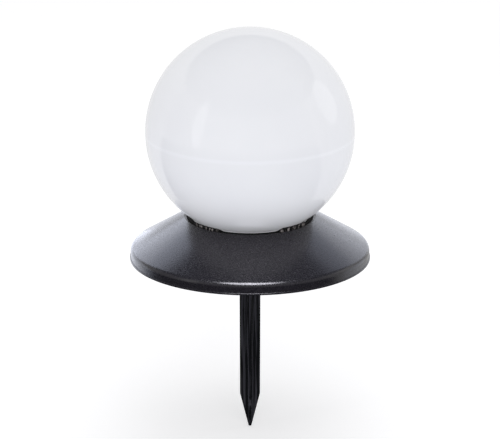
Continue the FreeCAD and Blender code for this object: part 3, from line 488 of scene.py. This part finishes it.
sealLow, sealHigh = cadSpan("neck_seal")
seal = {"inner": 55.1, "outer": sealHigh[0], "bottom": sealLow[2], "washerTop": sealHigh[2], "wall": 0.5,
        "lipRoot": 0.12, "washerRound": 0.2, "wallRound": 0.3, "lipRound": 0.1, "footRound": 0.05,
        "flat": {"wallTop": 41.2, "lipOuter": (56.3, 41.8), "lipInner": (56.4, 41.3)},
        "gathered": {"wallTop": 42.6, "lipOuter": (60.95, 45.8), "lipInner": (60.45, 45.7)},
        "gatherSpan": 20.0, "gatherFade": 7.0, "gathers": (0.8, 0.7, 0.7, 1.0),
        "pleatHeight": 0.6, "pleatPush": 0.4, "pleatRise": 2.0, "deepest": 0.8,
        "waves": ((53, 0.4, 0.5), (83, 1.9, 0.35), (131, 2.7, 0.25)), "steps": 900, "sharpAngle": 60}
# where the painted glint (pale grey standing for the globe's reflection) lies on the lip: from this height to
# so far below its top, fading over "fade"
dust = {"bottom": 41.8, "belowTop": 0.6, "fade": 0.5, "gatherGain": 3, "waveGain": 2, "waveStart": 0.5}


# how far the lip is gathered at an angle, 0 to 1, and its pleats, a sum of sine waves of the angle
def sealPleats(angles):
    between = 360 / lugs["count"]
    turn = (np.degrees(angles) - lugs["angle"] + between / 2) % 360
    lug = (turn // between).astype(int)
    fromLug = np.abs(turn % between - between / 2)
    share = np.clip((seal["gatherSpan"] - fromLug) / seal["gatherFade"], 0, 1)
    share = share ** 2 * (3 - 2 * share) * np.array(seal["gathers"])[lug]
    return share, sum(size * np.sin(count * angles + start) for count, start, size in seal["waves"])


# the section (r, z): a flat washer, and a thin wall whose lip leans in to the height that is asked for
def sealOutline(lip):
    wallInner = seal["outer"] - seal["wall"]
    washer, lipRound = seal["washerRound"], seal["lipRound"]
    return roundedOutline([
        (seal["inner"], seal["bottom"], washer), (seal["outer"], seal["bottom"], washer),
        (seal["outer"], lip["wallTop"], seal["wallRound"]), (*lip["lipOuter"], lipRound),
        (*lip["lipInner"], lipRound), (wallInner, neck["flangeTop"] + seal["lipRoot"], lipRound),
        (wallInner, seal["washerTop"], seal["footRound"]), (seal["inner"], seal["washerTop"], washer)])


# the seal is a washer under the neck's flange with a soft lip that closes the gap above it; over each lug the
# lip is squeezed up along the globe: its outline is the flat one moved towards the gathered one by the
# gathered share, and its pleats push it out and up in proportion to the height above the flange
def neckSeal():
    angles = np.linspace(0, 2 * np.pi, seal["steps"], endpoint=False)
    share, waves = sealPleats(angles)
    flat, gathered = (turnedGrid(sealOutline(seal[name]), seal["steps"]) for name in ("flat", "gathered"))
    grid = flat + share[:, None] * (gathered - flat)
    tip = np.clip((grid[..., 2] - neck["flangeTop"]) / seal["pleatRise"], 0, 1) * share
    radius = np.hypot(grid[..., 0], grid[..., 1])
    grid[..., :2] *= (1 + tip * seal["pleatPush"] * np.clip(waves, 0, 1) / radius)[..., None]
    grid[..., 2] += tip * seal["pleatHeight"] * np.clip(waves, -seal["deepest"], 0)
    piece = makePiece("neckSeal", [(grid, True)], "globe_carrier", "black_rubber", ["neck_seal"],
                      pleatedRubber(), seal["sharpAngle"])
    places = np.empty(len(piece.data.vertices) * 3)
    piece.data.vertices.foreach_get("co", places)
    x, y, z = places.reshape(-1, 3).T / mm
    share, waves = sealPleats(np.arctan2(y, x))
    # the share of pale grey painted on the pleats' crests below the lip's top, a painted reflection of the
    # white globe
    lipTop = neck["flangeTop"] + share * (seal["gathered"]["lipOuter"][1] - neck["flangeTop"])
    glintShare = np.clip(share * dust["gatherGain"], 0, 1)
    glintShare *= np.clip(waves * dust["waveGain"] + dust["waveStart"], 0, 1)
    glintShare *= np.clip((lipTop - dust["belowTop"] - z) / dust["fade"], 0, 1)
    glintShare *= np.clip((z - dust["bottom"]) / dust["fade"], 0, 1)
    piece.data.attributes.new("pleat", "FLOAT", "POINT").data.foreach_set("value", glintShare)


neckSeal()
print("seal made")


coverHigh = cadSpan("base_cover")[1]
cover = {"footRadius": coverHigh[0], "height": coverHigh[2], "rimRadius": 115.0, "lipHeight": 1.6,
         "rimHeight": 10.5, "rimFillet": 6.0, "wall": 2.5, "coneTop": 62.0, "recess": 60.5, "edgeRadius": 62.9,
         "edgeRound": 0.8, "edgeDrop": 1.8, "ledgeTop": 18.0, "ledgeBottom": 15.3, "ledgeInner": 50.6,
         "edge": 0.25, "innerRound": 1.0, "steps": 288, "edgeSteps": 7,
         "ribs": 8, "ribThickness": 2.0, "ribFoot": 3.0, "ribEdge": 0.1, "ribRoot": 0.3}


# a closed section (r, z) with round corners turned round the axis: rim, cone, recess, ledge and the wall's
# underside, where the cone is z = height - slope * (r - coneTop); a rib is the plate below that underside
def baseCover():
    foot, rim, recess, ledge = pick(cover, "footRadius", "rimRadius", "recess", "ledgeInner")
    top, ledgeTop, ledgeBottom = pick(cover, "height", "ledgeTop", "ledgeBottom")
    slope = (top - cover["rimHeight"]) / (rim - cover["coneTop"])
    drop = cover["wall"] * math.hypot(1, slope)
    innerRim, recessOuter = rim - cover["wall"], recess + cover["wall"]
    lip, edge, edgeRound, innerRound = pick(cover, "lipHeight", "edge", "edgeRound", "innerRound")

    def underCone(radius):
        return top - drop - slope * (radius - cover["coneTop"])

    outline = roundedOutline([
        (innerRim, 0, edge), (foot, 0, edge), (foot, lip, edge), (rim, lip, edge),
        (rim, cover["rimHeight"], cover["rimFillet"]),
        (cover["edgeRadius"], top - slope * (cover["edgeRadius"] - cover["coneTop"]), edgeRound),
        (recess, top - cover["edgeDrop"], edgeRound), (recess, ledgeTop, edge), (ledge, ledgeTop, edge),
        (ledge, ledgeBottom, edge), (recessOuter, ledgeBottom, edge),
        (recessOuter, underCone(recessOuter), innerRound), (innerRim, underCone(innerRim), innerRound)],
        cover["edgeSteps"])
    root, ribEdge = pick(cover, "ribRoot", "ribEdge")
    first, last = recessOuter - root, innerRim + root
    web = roundedOutline([
        (first, ledgeBottom, ribEdge), (last, cover["ribFoot"], ribEdge),
        (last, underCone(last) + root, ribEdge), (first, underCone(first) + root, ribEdge)], steps=3)
    rib = plateGrid(web, cover["ribThickness"])
    grids = [(turnedGrid(outline, cover["steps"]), True)]
    grids += [(turned(rib, (i + 0.5) * 360 / cover["ribs"]), False) for i in range(cover["ribs"])]
    return makePiece("baseCover", grids, "base", "anthracite_cover", ["base_cover"])


coverPiece = baseCover()
print("base cover made")


# the stations are (height, width, fin thickness, inner fillet) of the cross, from the seat down to the point
spikeLow, spikeHigh = cadSpan("ground_spike")
spike = {"stations": [(2.8, 20.4, 4.0, 1.2), (-139.4, 19.6, 3.6, 1.0), (-140.6, 19.4, 3.58, 0.99),
                      (spikeLow[2] + 0.5, 2.9, 2.0, 0.25), (spikeLow[2], 2.3, 1.5, 0.2)],
         "finEdge": 0.45, "finShare": 0.6, "edgeSteps": 5, "filletSteps": 7, "steps": 96,
         "flangeRadius": 12.4, "flangeBottom": 2.5, "flangeTop": 4.9, "flangeEdge": 0.4,
         "stemRadius": 7.5, "stemFlat": 6.4, "stemTop": spikeHigh[2], "stemChamfer": 1.0, "stemRoot": 1}


# one quarter of the cross from fin tip to fin tip, turned four times: two rounded tip corners, an inner fillet
def crossOutline(width, thickness, fillet):
    half, fin = width / 2, thickness / 2
    edge = min(spike["finEdge"], fin * spike["finShare"])
    quarter = np.concatenate([
        arcPoints((half - edge, fin - edge), edge, 0, 90, spike["edgeSteps"]),
        arcPoints((fin + fillet, fin + fillet), fillet, 270, 180, spike["filletSteps"]),
        arcPoints((fin - edge, half - edge), edge, 0, 90, spike["edgeSteps"])])
    turns = ((1, 0), (0, 1), (-1, 0), (0, -1))
    return np.concatenate([quarter @ np.array([[cos, sin], [-sin, cos]]) for cos, sin in turns])


# the blade is a cross at each level, joined by straight lines to the next; the flange and the stem are turned,
# and the stem's two flats cut its y at plus and minus stemFlat
def groundSpike():
    blade = np.stack([np.insert(crossOutline(*size), 2, height, 1) for height, *size in spike["stations"]])
    reach, bottom, top, edge = pick(spike, "flangeRadius", "flangeBottom", "flangeTop", "flangeEdge")
    flange = roundedOutline([(0, bottom, 0), (reach, bottom, edge), (reach, top, edge), (0, top, 0)], steps=4)
    radius, chamfer, root = spike["stemRadius"], spike["stemChamfer"], top - spike["stemRoot"]
    stem = turnedGrid([(0, root), (radius, root), (radius, spike["stemTop"] - chamfer),
                       (radius - chamfer, spike["stemTop"]), (0, spike["stemTop"])], spike["steps"])
    stem[..., 1] = np.clip(stem[..., 1], -spike["stemFlat"], spike["stemFlat"])
    makePiece("groundSpike", [(blade, False), (turnedGrid(flange, spike["steps"]), False), (stem, False)],
              "spike", "spike_plastic", ["ground_spike"])


groundSpike()
print("ground spike made")


# shank and head are turned and pan or countersunk; places are (x, y) and "top" is the head's outermost level
screws = {
    "collarScrews": {"node": "collar_screws", "top": 20.5, "length": 13.5, "pan": False,
                     "places": [(54.5, 0), (0, 54.5), (-54.5, 0), (0, -54.5)]},
    "deckScrews": {"node": "deck_screws", "top": 48.8, "length": 13.2, "pan": True,
                   "places": [(45.6, 0), (0, 45.6), (-45.6, 0), (0, -45.6)]},
    "boardScrews": {"node": "board_screws", "top": 19.0, "length": 8.2, "pan": True,
                    "places": [(-18, 35), (18, 17)]},
    "doorScrews": {"node": "door_screws", "top": 2.2, "length": 7.0, "pan": False, "fromBelow": True,
                   "places": [(-35, -24), (35, -24)]},
}
screw = {"radius": 1.5, "root": 1.12, "pitch": 1.2, "rowsPerPitch": 8, "ridge": 2.6, "runOut": 0.8,
         "tip": 1.4, "tipShare": 0.12, "headRadius": 2.8, "headHeight": 1.5, "headEdge": 0.08, "headSide": 0.1,
         "headFoot": 0.05, "panHeight": 1.2, "panEdge": 0.55, "panDome": 0.12, "panSteps": 5,
         "crossReach": 1.55, "crossWidth": 0.42, "crossDepth": 0.85, "crossEdge": 0.16, "crossTaper": 0.35,
         "rings": 15, "steps": 48}


# One screw, head up, its top at z = 0. The head is a height over (radius, angle): flat or slightly domed, less
# the cross, which is as deep as the point lies inside its arms. The thread's radius follows a ridge that climbs
# one pitch for each turn, and both fade into the point.
def screwGrid(pan, length):
    angles = np.linspace(0, 2 * np.pi, screw["steps"], endpoint=False)
    outer = screw["headRadius"] - (screw["panEdge"] if pan else screw["headEdge"])
    radius = np.linspace(nearAxis, outer, screw["rings"])[:, None]
    x, y = radius * np.cos(angles), radius * np.sin(angles)
    inside = np.minimum(screw["crossWidth"] - np.minimum(abs(x), abs(y)),
                        screw["crossReach"] - np.maximum(abs(x), abs(y)))
    depth = screw["crossDepth"] * (1 - screw["crossTaper"] * radius / screw["crossReach"])
    dome = screw["panDome"] * (radius / outer) ** 2 if pan else 0
    head = np.stack([x, y, -dome - np.clip(inside / screw["crossEdge"], 0, 1) * depth], -1)
    if pan:
        under = screw["panHeight"]
        centre = (outer, -screw["panDome"] - screw["panEdge"])
        side = np.concatenate([arcPoints(centre, screw["panEdge"], 80, 0, screw["panSteps"]),
                               [(screw["headRadius"], -under)]])
    else:
        under = screw["headHeight"]
        side = [(screw["headRadius"], -screw["headSide"]), (screw["radius"] + screw["headFoot"], -under)]
    height = np.linspace(under, length, int((length - under) / screw["pitch"] * screw["rowsPerPitch"]))[:, None]
    phase = (height / screw["pitch"] + angles / (2 * np.pi)) % 1
    ridge = np.clip(1 - screw["ridge"] * abs(phase - 0.5), 0, 1)
    ridge *= np.clip((height - under) / screw["runOut"], 0, 1)
    fade = np.clip((length - height) / screw["tip"], screw["tipShare"], 1)
    thread = (screw["root"] + (screw["radius"] - screw["root"]) * ridge) * fade
    shank = np.stack([thread * np.cos(angles), thread * np.sin(angles), 0 * thread - height], -1)
    return np.concatenate([head, turnedGrid(side, screw["steps"]), shank])


for name, setup in screws.items():
    single = screwGrid(setup["pan"], setup["length"])
    if "fromBelow" in setup:
        single = single * (1, -1, -1)
    grids = [(single + (*place, setup["top"]), False) for place in setup["places"]]
    makePiece(name, grids, "base", "screw_steel", [setup["node"]])
print("screws made")


led = {"count": 12, "circle": 46.4, "radial": 2.8, "around": 3.5, "bottom": 47.6, "height": 0.9, "corner": 0.3,
       "edge": 0.06, "cup": 0.42, "cupSlope": 0.08, "cupDepth": 0.3}
# the gel as (inset past the cup's wall, level under the package's top)
gel = {"corner": 0.6, "profile": [(-0.03, -0.35), (-0.03, -0.08), (0.25, -0.03), (0.7, -0.02)]}


# twelve lamps: rings of a round-cornered rectangle that shrink by each profile point's inset, for the white
# packages with a cup, and for the gel that fills it almost to the brim
def ledLamps():
    halfX, halfY, cup = led["radial"] / 2, led["around"] / 2, led["cup"]
    top = led["bottom"] + led["height"]
    profile = [(0, led["bottom"]), (0, top - led["edge"]), (led["edge"], top), (cup - led["cupSlope"], top),
               (cup, top - led["cupDepth"])]
    package = insetGrid(halfX, halfY, led["corner"], profile)
    profile = [(cup + inset, top + level) for inset, level in gel["profile"]]
    filling = insetGrid(halfX, halfY, gel["corner"], profile)
    for name, grid, slot in (("lampPackages", package, "white_plastic"), ("lampGel", filling, "led_phosphor")):
        grid += (led["circle"], 0, 0)
        grids = [(turned(grid, (i + 0.5) * 360 / led["count"]), False) for i in range(led["count"])]
        makePiece(name, grids, "base", slot, ["leds"])


ledLamps()
print("lamps made")


cellHigh = cadSpan("battery")[1]
cell = {"start": -22.5, "end": 26.7, "tip": cellHigh[0], "radius": 7.25, "y": -24.0, "z": 13.95,
        "shoulder": 0.8, "sleeve": 0.12, "fold": 5.9, "foldRound": 0.05, "sleeveRound": 0.3, "steps": 96}
# the can's section as (r, along the axis from the cell's start, end or tip)
can = {"start": [(nearAxis, 0.25), (3.9, 0.25), (4.3, 0.15), (7.01, 0.15)],
       "end": [(7.01, -0.15), (4.5, -0.15), (3.9, -0.5), (3.15, -0.5), (2.75, -0.3)],
       "tip": [(2.75, -0.5), (2.6, -0.15), (2.25, 0), (nearAxis, 0)]}
spring = {"first": -27.6, "last": -22.9, "baseRadius": 4.0, "tipRadius": 2.4, "turns": 3, "wire": 0.4,
          "steps": 150}


# a surface turned about z is laid along x, with its axis through the cell's
def laid(grid):
    return grid[..., [2, 0, 1]] + (0, cell["y"], cell["z"])


# two sections (r, along the axis) turned about the cell's axis: the sleeve is a thin skin folded over both
# ends, the can shows inside its folds, with a groove round its raised end
def batteryCell():
    fold, radius, start, end = pick(cell, "fold", "radius", "start", "end")
    skin, foldRound, sleeveRound = pick(cell, "sleeve", "foldRound", "sleeveRound")
    sleeve = roundedOutline([
        (fold, start, foldRound), (radius, start, cell["shoulder"]), (radius, end, cell["shoulder"]),
        (fold, end, foldRound), (fold, end - skin, foldRound), (radius - skin, end - skin, sleeveRound),
        (radius - skin, start + skin, sleeveRound), (fold, start + skin, foldRound)])
    makePiece("batterySleeve", [(laid(turnedGrid(sleeve, cell["steps"])), True)], "base", "battery_wrap",
              ["battery"])
    section = [(r, cell[place] + along) for place, points in can.items() for r, along in points]
    makePiece("batteryCan", [(laid(turnedGrid(section, cell["steps"])), False)], "base", "contact_steel",
              ["battery"])


# the spring's wire follows a helix along x whose radius shrinks evenly towards the cell
def contactSpring():
    share = np.linspace(0, 1, spring["steps"])[:, None]
    angle = share * spring["turns"] * 2 * np.pi
    outward = np.hstack([0 * share, np.cos(angle), np.sin(angle)])
    reach = spring["baseRadius"] + share * (spring["tipRadius"] - spring["baseRadius"])
    along = spring["first"] + share * (spring["last"] - spring["first"])
    path = along * (1, 0, 0) + reach * outward + (0, cell["y"], cell["z"])
    makePiece("contactSpring", [(tubeGrid(path, outward, spring["wire"]), False)], "base", "contact_steel",
              ["contact_spring"])


batteryCell()
contactSpring()
print("battery made")


buttonLow, buttonHigh = cadSpan("push_button")
button = {"x": 31.0, "face": buttonLow[2], "top": buttonHigh[2], "radius": 4.0, "edge": 1.0, "sideFoot": 0.1,
          "flangeRadius": 5.2, "flangeBottom": 7.3, "flangeTop": 8.3, "flangeEdge": 0.25, "stemRadius": 1.5,
          "stemFoot": 0.15, "dish": 0.25, "dishFloor": (1.4, 0.6), "dishRim": (2.6, 0.5), "steps": 72}


# a section (r, z) turned about the button's own axis; the face has a shallow dish for the fingertip, whose
# floor and rim are given as (r, rounding)
def pushButton():
    radius, face, dish, top, stem = pick(button, "radius", "face", "dish", "top", "stemRadius")
    flange, bottom, flangeTop, edge = pick(button, "flangeRadius", "flangeBottom", "flangeTop", "flangeEdge")
    (floorRadius, floorRound), (rimRadius, rimRound) = pick(button, "dishFloor", "dishRim")
    outline = roundedOutline([
        (nearAxis, face + dish, 0), (floorRadius, face + dish, floorRound), (rimRadius, face, rimRound),
        (radius, face, button["edge"]), (radius, bottom, button["sideFoot"]), (flange, bottom, edge),
        (flange, flangeTop, edge), (stem, flangeTop, button["stemFoot"]), (stem, top, edge),
        (nearAxis, top, 0)])
    makePiece("pushButton", [(turnedGrid(outline, button["steps"]) + (button["x"], 0, 0), False)], "button",
              "button_rubber", ["push_button"])


pushButton()
print("button made")


# parts of the driver board as profiles over its face: (r, z) and a rounding for the turned ones, and (inset, z)
# for the sockets with their plugs; "turns" are the first and last wound level, their pitch, radius and bulge
driver = {"bottom": 17.8, "steps": 64,
          "coil": {"place": (-4, 34), "turns": (0.9, 4.1, 0.4, 3.55, 0.12), "turnSteps": 25,
                   "foot": [(nearAxis, 0), (4.0, 0), (4.0, 0.8), (3.1, 0.85)],
                   "head": [(3.1, 4.15), (4.0, 4.2), (4.0, 4.8), (3.8, 5.0), (nearAxis, 5.0)]},
          "capacitor": {"place": (6, 34),
                        "profile": [(nearAxis, 0, 0), (3.0, 0, 0.3), (3.0, 0.9, 0.1), (2.7, 1.3, 0.1),
                                    (3.0, 1.7, 0.1), (3.0, 8.0, 0.35), (2.3, 8.0, 0.05), (2.25, 7.85, 0.05),
                                    (nearAxis, 7.85, 0)]},
          "sockets": {"places": [(-15, 22), (0, 22), (15, 30)], "half": (3.5, 2.5), "corner": 0.5,
                      "profile": [(0, 0), (0, 3.25), (0.15, 3.4), (0.6, 3.4), (0.6, 4.85), (0.75, 5.0)]}}


# a coil wound on a drum, a capacitor with its crimped sleeve, and three sockets with their plugs in: turned
# sections and shrinking rings; the winding's radius swings by the sine of its height, half a wave a turn
def driverParts():
    coil, capacitor, sockets = pick(driver, "coil", "capacitor", "sockets")
    first, last, pitch, radius, bulge = coil["turns"]
    level = np.linspace(first, last, coil["turnSteps"])
    wound = np.stack([radius + bulge * abs(np.sin(np.pi * level / pitch)), level], 1)
    drum = turnedGrid(np.concatenate([coil["foot"], wound, coil["head"]]), driver["steps"])
    can = turnedGrid(roundedOutline(capacitor["profile"], steps=4), driver["steps"])
    socket = insetGrid(*sockets["half"], sockets["corner"], sockets["profile"])
    placed = [(drum, coil["place"]), (can, capacitor["place"])]
    placed += [(socket, place) for place in sockets["places"]]
    grids = [(grid + (*place, driver["bottom"]), False) for grid, place in placed]
    makePiece("driverParts", grids, "base", "component_plastic", ["driver_parts"])


driverParts()
print("driver parts made")


studio = {"floorDrop": 0.5, "floorSize": 4.0, "floor": "#E8E8EA", "white": "#FFFFFF", "lift": 0.36,
          "wall": "#D6D6DA", "overhead": "#868E95", "roomFloor": "#5C6067", "turn": 0.27, "edge": 0.02,
          "ceiling": 0.53, "ambient": 0.68, "back": 0.85, "wallFoot": 0.1, "bounce": 0.355,
          "bounceTint": "#F4F8FF", "sheen": "#E6ECFF"}
roomLamps = {
    "fillLamp": {"place": (0.2, -2.4, 2.2), "size": (2.4, 2.4), "aim": (0, 0, 0.08), "power": 20,
                 "glossy": False},
    "topLamp": {"place": (0.3, 0.2, 2.6), "size": (2.2, 2.2), "aim": (0, 0, 0.08), "power": 9, "glossy": False},
    "leftStrip": {"place": (-1.75, -1.05, 0.62), "size": (0.5, 2.0), "aim": (0, 0, 0.12), "power": 2.2},
    "rightPatch": {"place": (1.84, 0.5, 0.74), "size": (1.0, 1.2), "aim": (0, 0, 0.12), "power": 1.8},
}
# these light the cover alone, so that the globe doesn't show them: a highlight along the rim, a cool sheen
# from behind on the cone, and light from low down on the rim's sides and the cone's far edge
coverLamps = {
    "rimLamp": {"place": (0, -0.94, 1.25), "size": (1.15, 0.9), "aim": (0, -0.11, 0), "power": 60,
                "tint": "#F6F5FF"},
    "backLeft": {"place": (-0.89, 1.42, 1.11), "size": (1.3, 1.8), "aim": (0, 0, 0.02), "power": 15},
    "backRight": {"place": (0.89, 1.42, 1.11), "size": (1.4, 2.0), "aim": (0, 0, 0.02), "power": 9.4},
    "lowLeft": {"place": (-0.43, 0.36, -0.16), "size": (0.75, 0.75), "aim": (-0.1, 0, 0), "power": 1.9},
    "lowRight": {"place": (0.62, 0.25, -0.16), "size": (0.5, 0.6), "aim": (0.1, 0, 0), "power": 0.55},
    "lowBack": {"place": (0, 0.95, 0.01), "size": (1.5, 0.4), "aim": (0, 0, 0.02), "power": 1.25},
}
view = {"aim": (0, 0, 0.03741), "distance": 3.0, "elevation": 17.67, "lens": 224.6}


# The room that shows in glossy faces: white behind, greyer before a wall turned by 15 degrees. A point's side
# of that wall is y + turn * x, for a direction as for a place on the floor. Also gives the point's z.
def darkSide(tree, place, offset):
    axes = addNode(tree, "SeparateXYZ", {}, {0: place})
    side = addNode(tree, "Math", {"operation": "MULTIPLY_ADD", 1: studio["turn"]},
                   {0: axes.outputs["X"], 2: axes.outputs["Y"]})
    dark = addNode(tree, "MapRange", {"interpolation_type": "SMOOTHSTEP", "From Min": offset + studio["edge"],
                                      "From Max": offset - studio["edge"]}, {"Value": side})
    return dark, axes.outputs["Z"]


def makeFloor():
    half, level = studio["floorSize"] / 2, (spikeLow[2] - studio["floorDrop"]) * mm
    mesh = bpy.data.meshes.new("floor")
    corners = [(-half, -half, level), (half, -half, level), (half, half, level), (-half, half, level)]
    mesh.from_pydata(corners, [], [(0, 1, 2, 3)])
    floor = addObject("floor", mesh)
    material, tree, shader, place = newFinish("paleFloor", {"Base Color": colour(studio["floor"]),
                                                            "Roughness": 0.9, "Specular IOR Level": 0.0})
    white = colour(studio["white"])
    rays = addNode(tree, "LightPath").outputs
    lift = addNode(tree, "Math", {"operation": "MULTIPLY", 1: studio["lift"]}, {0: rays["Is Camera Ray"]})
    bounce = addNode(tree, "Math", {"operation": "MULTIPLY_ADD", 1: studio["bounce"]},
                     {0: rays["Is Diffuse Ray"], 2: lift})
    tint = addNode(tree, "Mix", {"data_type": "RGBA", 6: white, 7: colour(studio["bounceTint"])},
                   {0: rays["Is Diffuse Ray"]})
    glow = addNode(tree, "Emission", {}, {"Color": tint.outputs[2], "Strength": bounce})
    seen = addNode(tree, "AddShader", {}, {0: shader, 1: glow})
    dark = darkSide(tree, place, studio["wallFoot"])[0]
    tone = addNode(tree, "ValToRGB", {"ramp": [(0, white), (1, colour(studio["roomFloor"]))]}, {"Fac": dark})
    mirrored = addNode(tree, "Emission", {"Strength": studio["back"]}, {"Color": tone})
    mix = addNode(tree, "MixShader", {}, {0: rays["Is Glossy Ray"], 1: seen, 2: mirrored})
    feed(tree, tree.nodes["Material Output"], {"Surface": mix})
    mesh.materials.append(material)


# plain white to the camera, an even pale light on the object, and the room with its ceiling in glossy faces
def makeWorld():
    world = bpy.data.worlds.new("studioWorld")
    bpy.context.scene.world = world
    world.use_nodes = True
    tree, white = world.node_tree, colour(studio["white"])
    front, height = darkSide(tree, addNode(tree, "TexCoord").outputs["Generated"], 0.0)
    low, high = studio["ceiling"] - studio["edge"], studio["ceiling"] + studio["edge"]
    overhead = addNode(tree, "MapRange", {"interpolation_type": "SMOOTHSTEP", "From Min": low,
                                          "From Max": high}, {"Value": height})
    walls = addNode(tree, "ValToRGB", {"ramp": [(0, white), (1, colour(studio["wall"]))]}, {"Fac": front})
    tone = addNode(tree, "Mix", {"data_type": "RGBA", 7: colour(studio["overhead"])}, {0: overhead, 6: walls})
    mirrored = addNode(tree, "Background", {"Strength": studio["back"]}, {"Color": tone.outputs[2]})
    around = addNode(tree, "Background", {"Color": white, "Strength": studio["ambient"]})
    plain = addNode(tree, "Background", {"Color": white, "Strength": 1.0})
    rays = addNode(tree, "LightPath").outputs
    lit = addNode(tree, "MixShader", {}, {0: rays["Is Glossy Ray"], 1: around, 2: mirrored})
    mix = addNode(tree, "MixShader", {}, {0: rays["Is Camera Ray"], 1: lit, 2: plain})
    feed(tree, tree.nodes["World Output"], {"Surface": mix})


def makeLamp(name, setup, tint):
    data = bpy.data.lights.new(name, "AREA")
    data.shape = "ELLIPSE"
    data.size, data.size_y = setup["size"]
    data.energy = setup["power"]
    data.color = colour(setup.get("tint", tint))[:3]
    lamp = addObject(name, data)
    lamp.location = setup["place"]
    lamp.rotation_euler = (Vector(setup["aim"]) - lamp.location).to_track_quat("-Z", "Y").to_euler()
    lamp.visible_camera = False
    lamp.visible_glossy = setup.get("glossy", True)
    return lamp


def makeCamera():
    data = bpy.data.cameras.new("photoCamera")
    data.lens = view["lens"]
    camera = addObject("photoCamera", data)
    rise = math.radians(view["elevation"])
    aim = Vector(view["aim"])
    camera.location = aim + Vector((0, -math.cos(rise), math.sin(rise))) * view["distance"]
    camera.rotation_euler = (aim - camera.location).to_track_quat("-Z", "Y").to_euler()
    bpy.context.scene.camera = camera


makeFloor()
makeWorld()
for name, setup in roomLamps.items():
    makeLamp(name, setup, studio["white"])
coverOnly = bpy.data.collections.new("coverOnly")
coverOnly.objects.link(coverPiece)
for name, setup in coverLamps.items():
    makeLamp(name, setup, studio["sheen"]).light_linking.receiver_collection = coverOnly
makeCamera()
bpy.context.scene.view_settings.view_transform = "Standard"
print("studio ready")
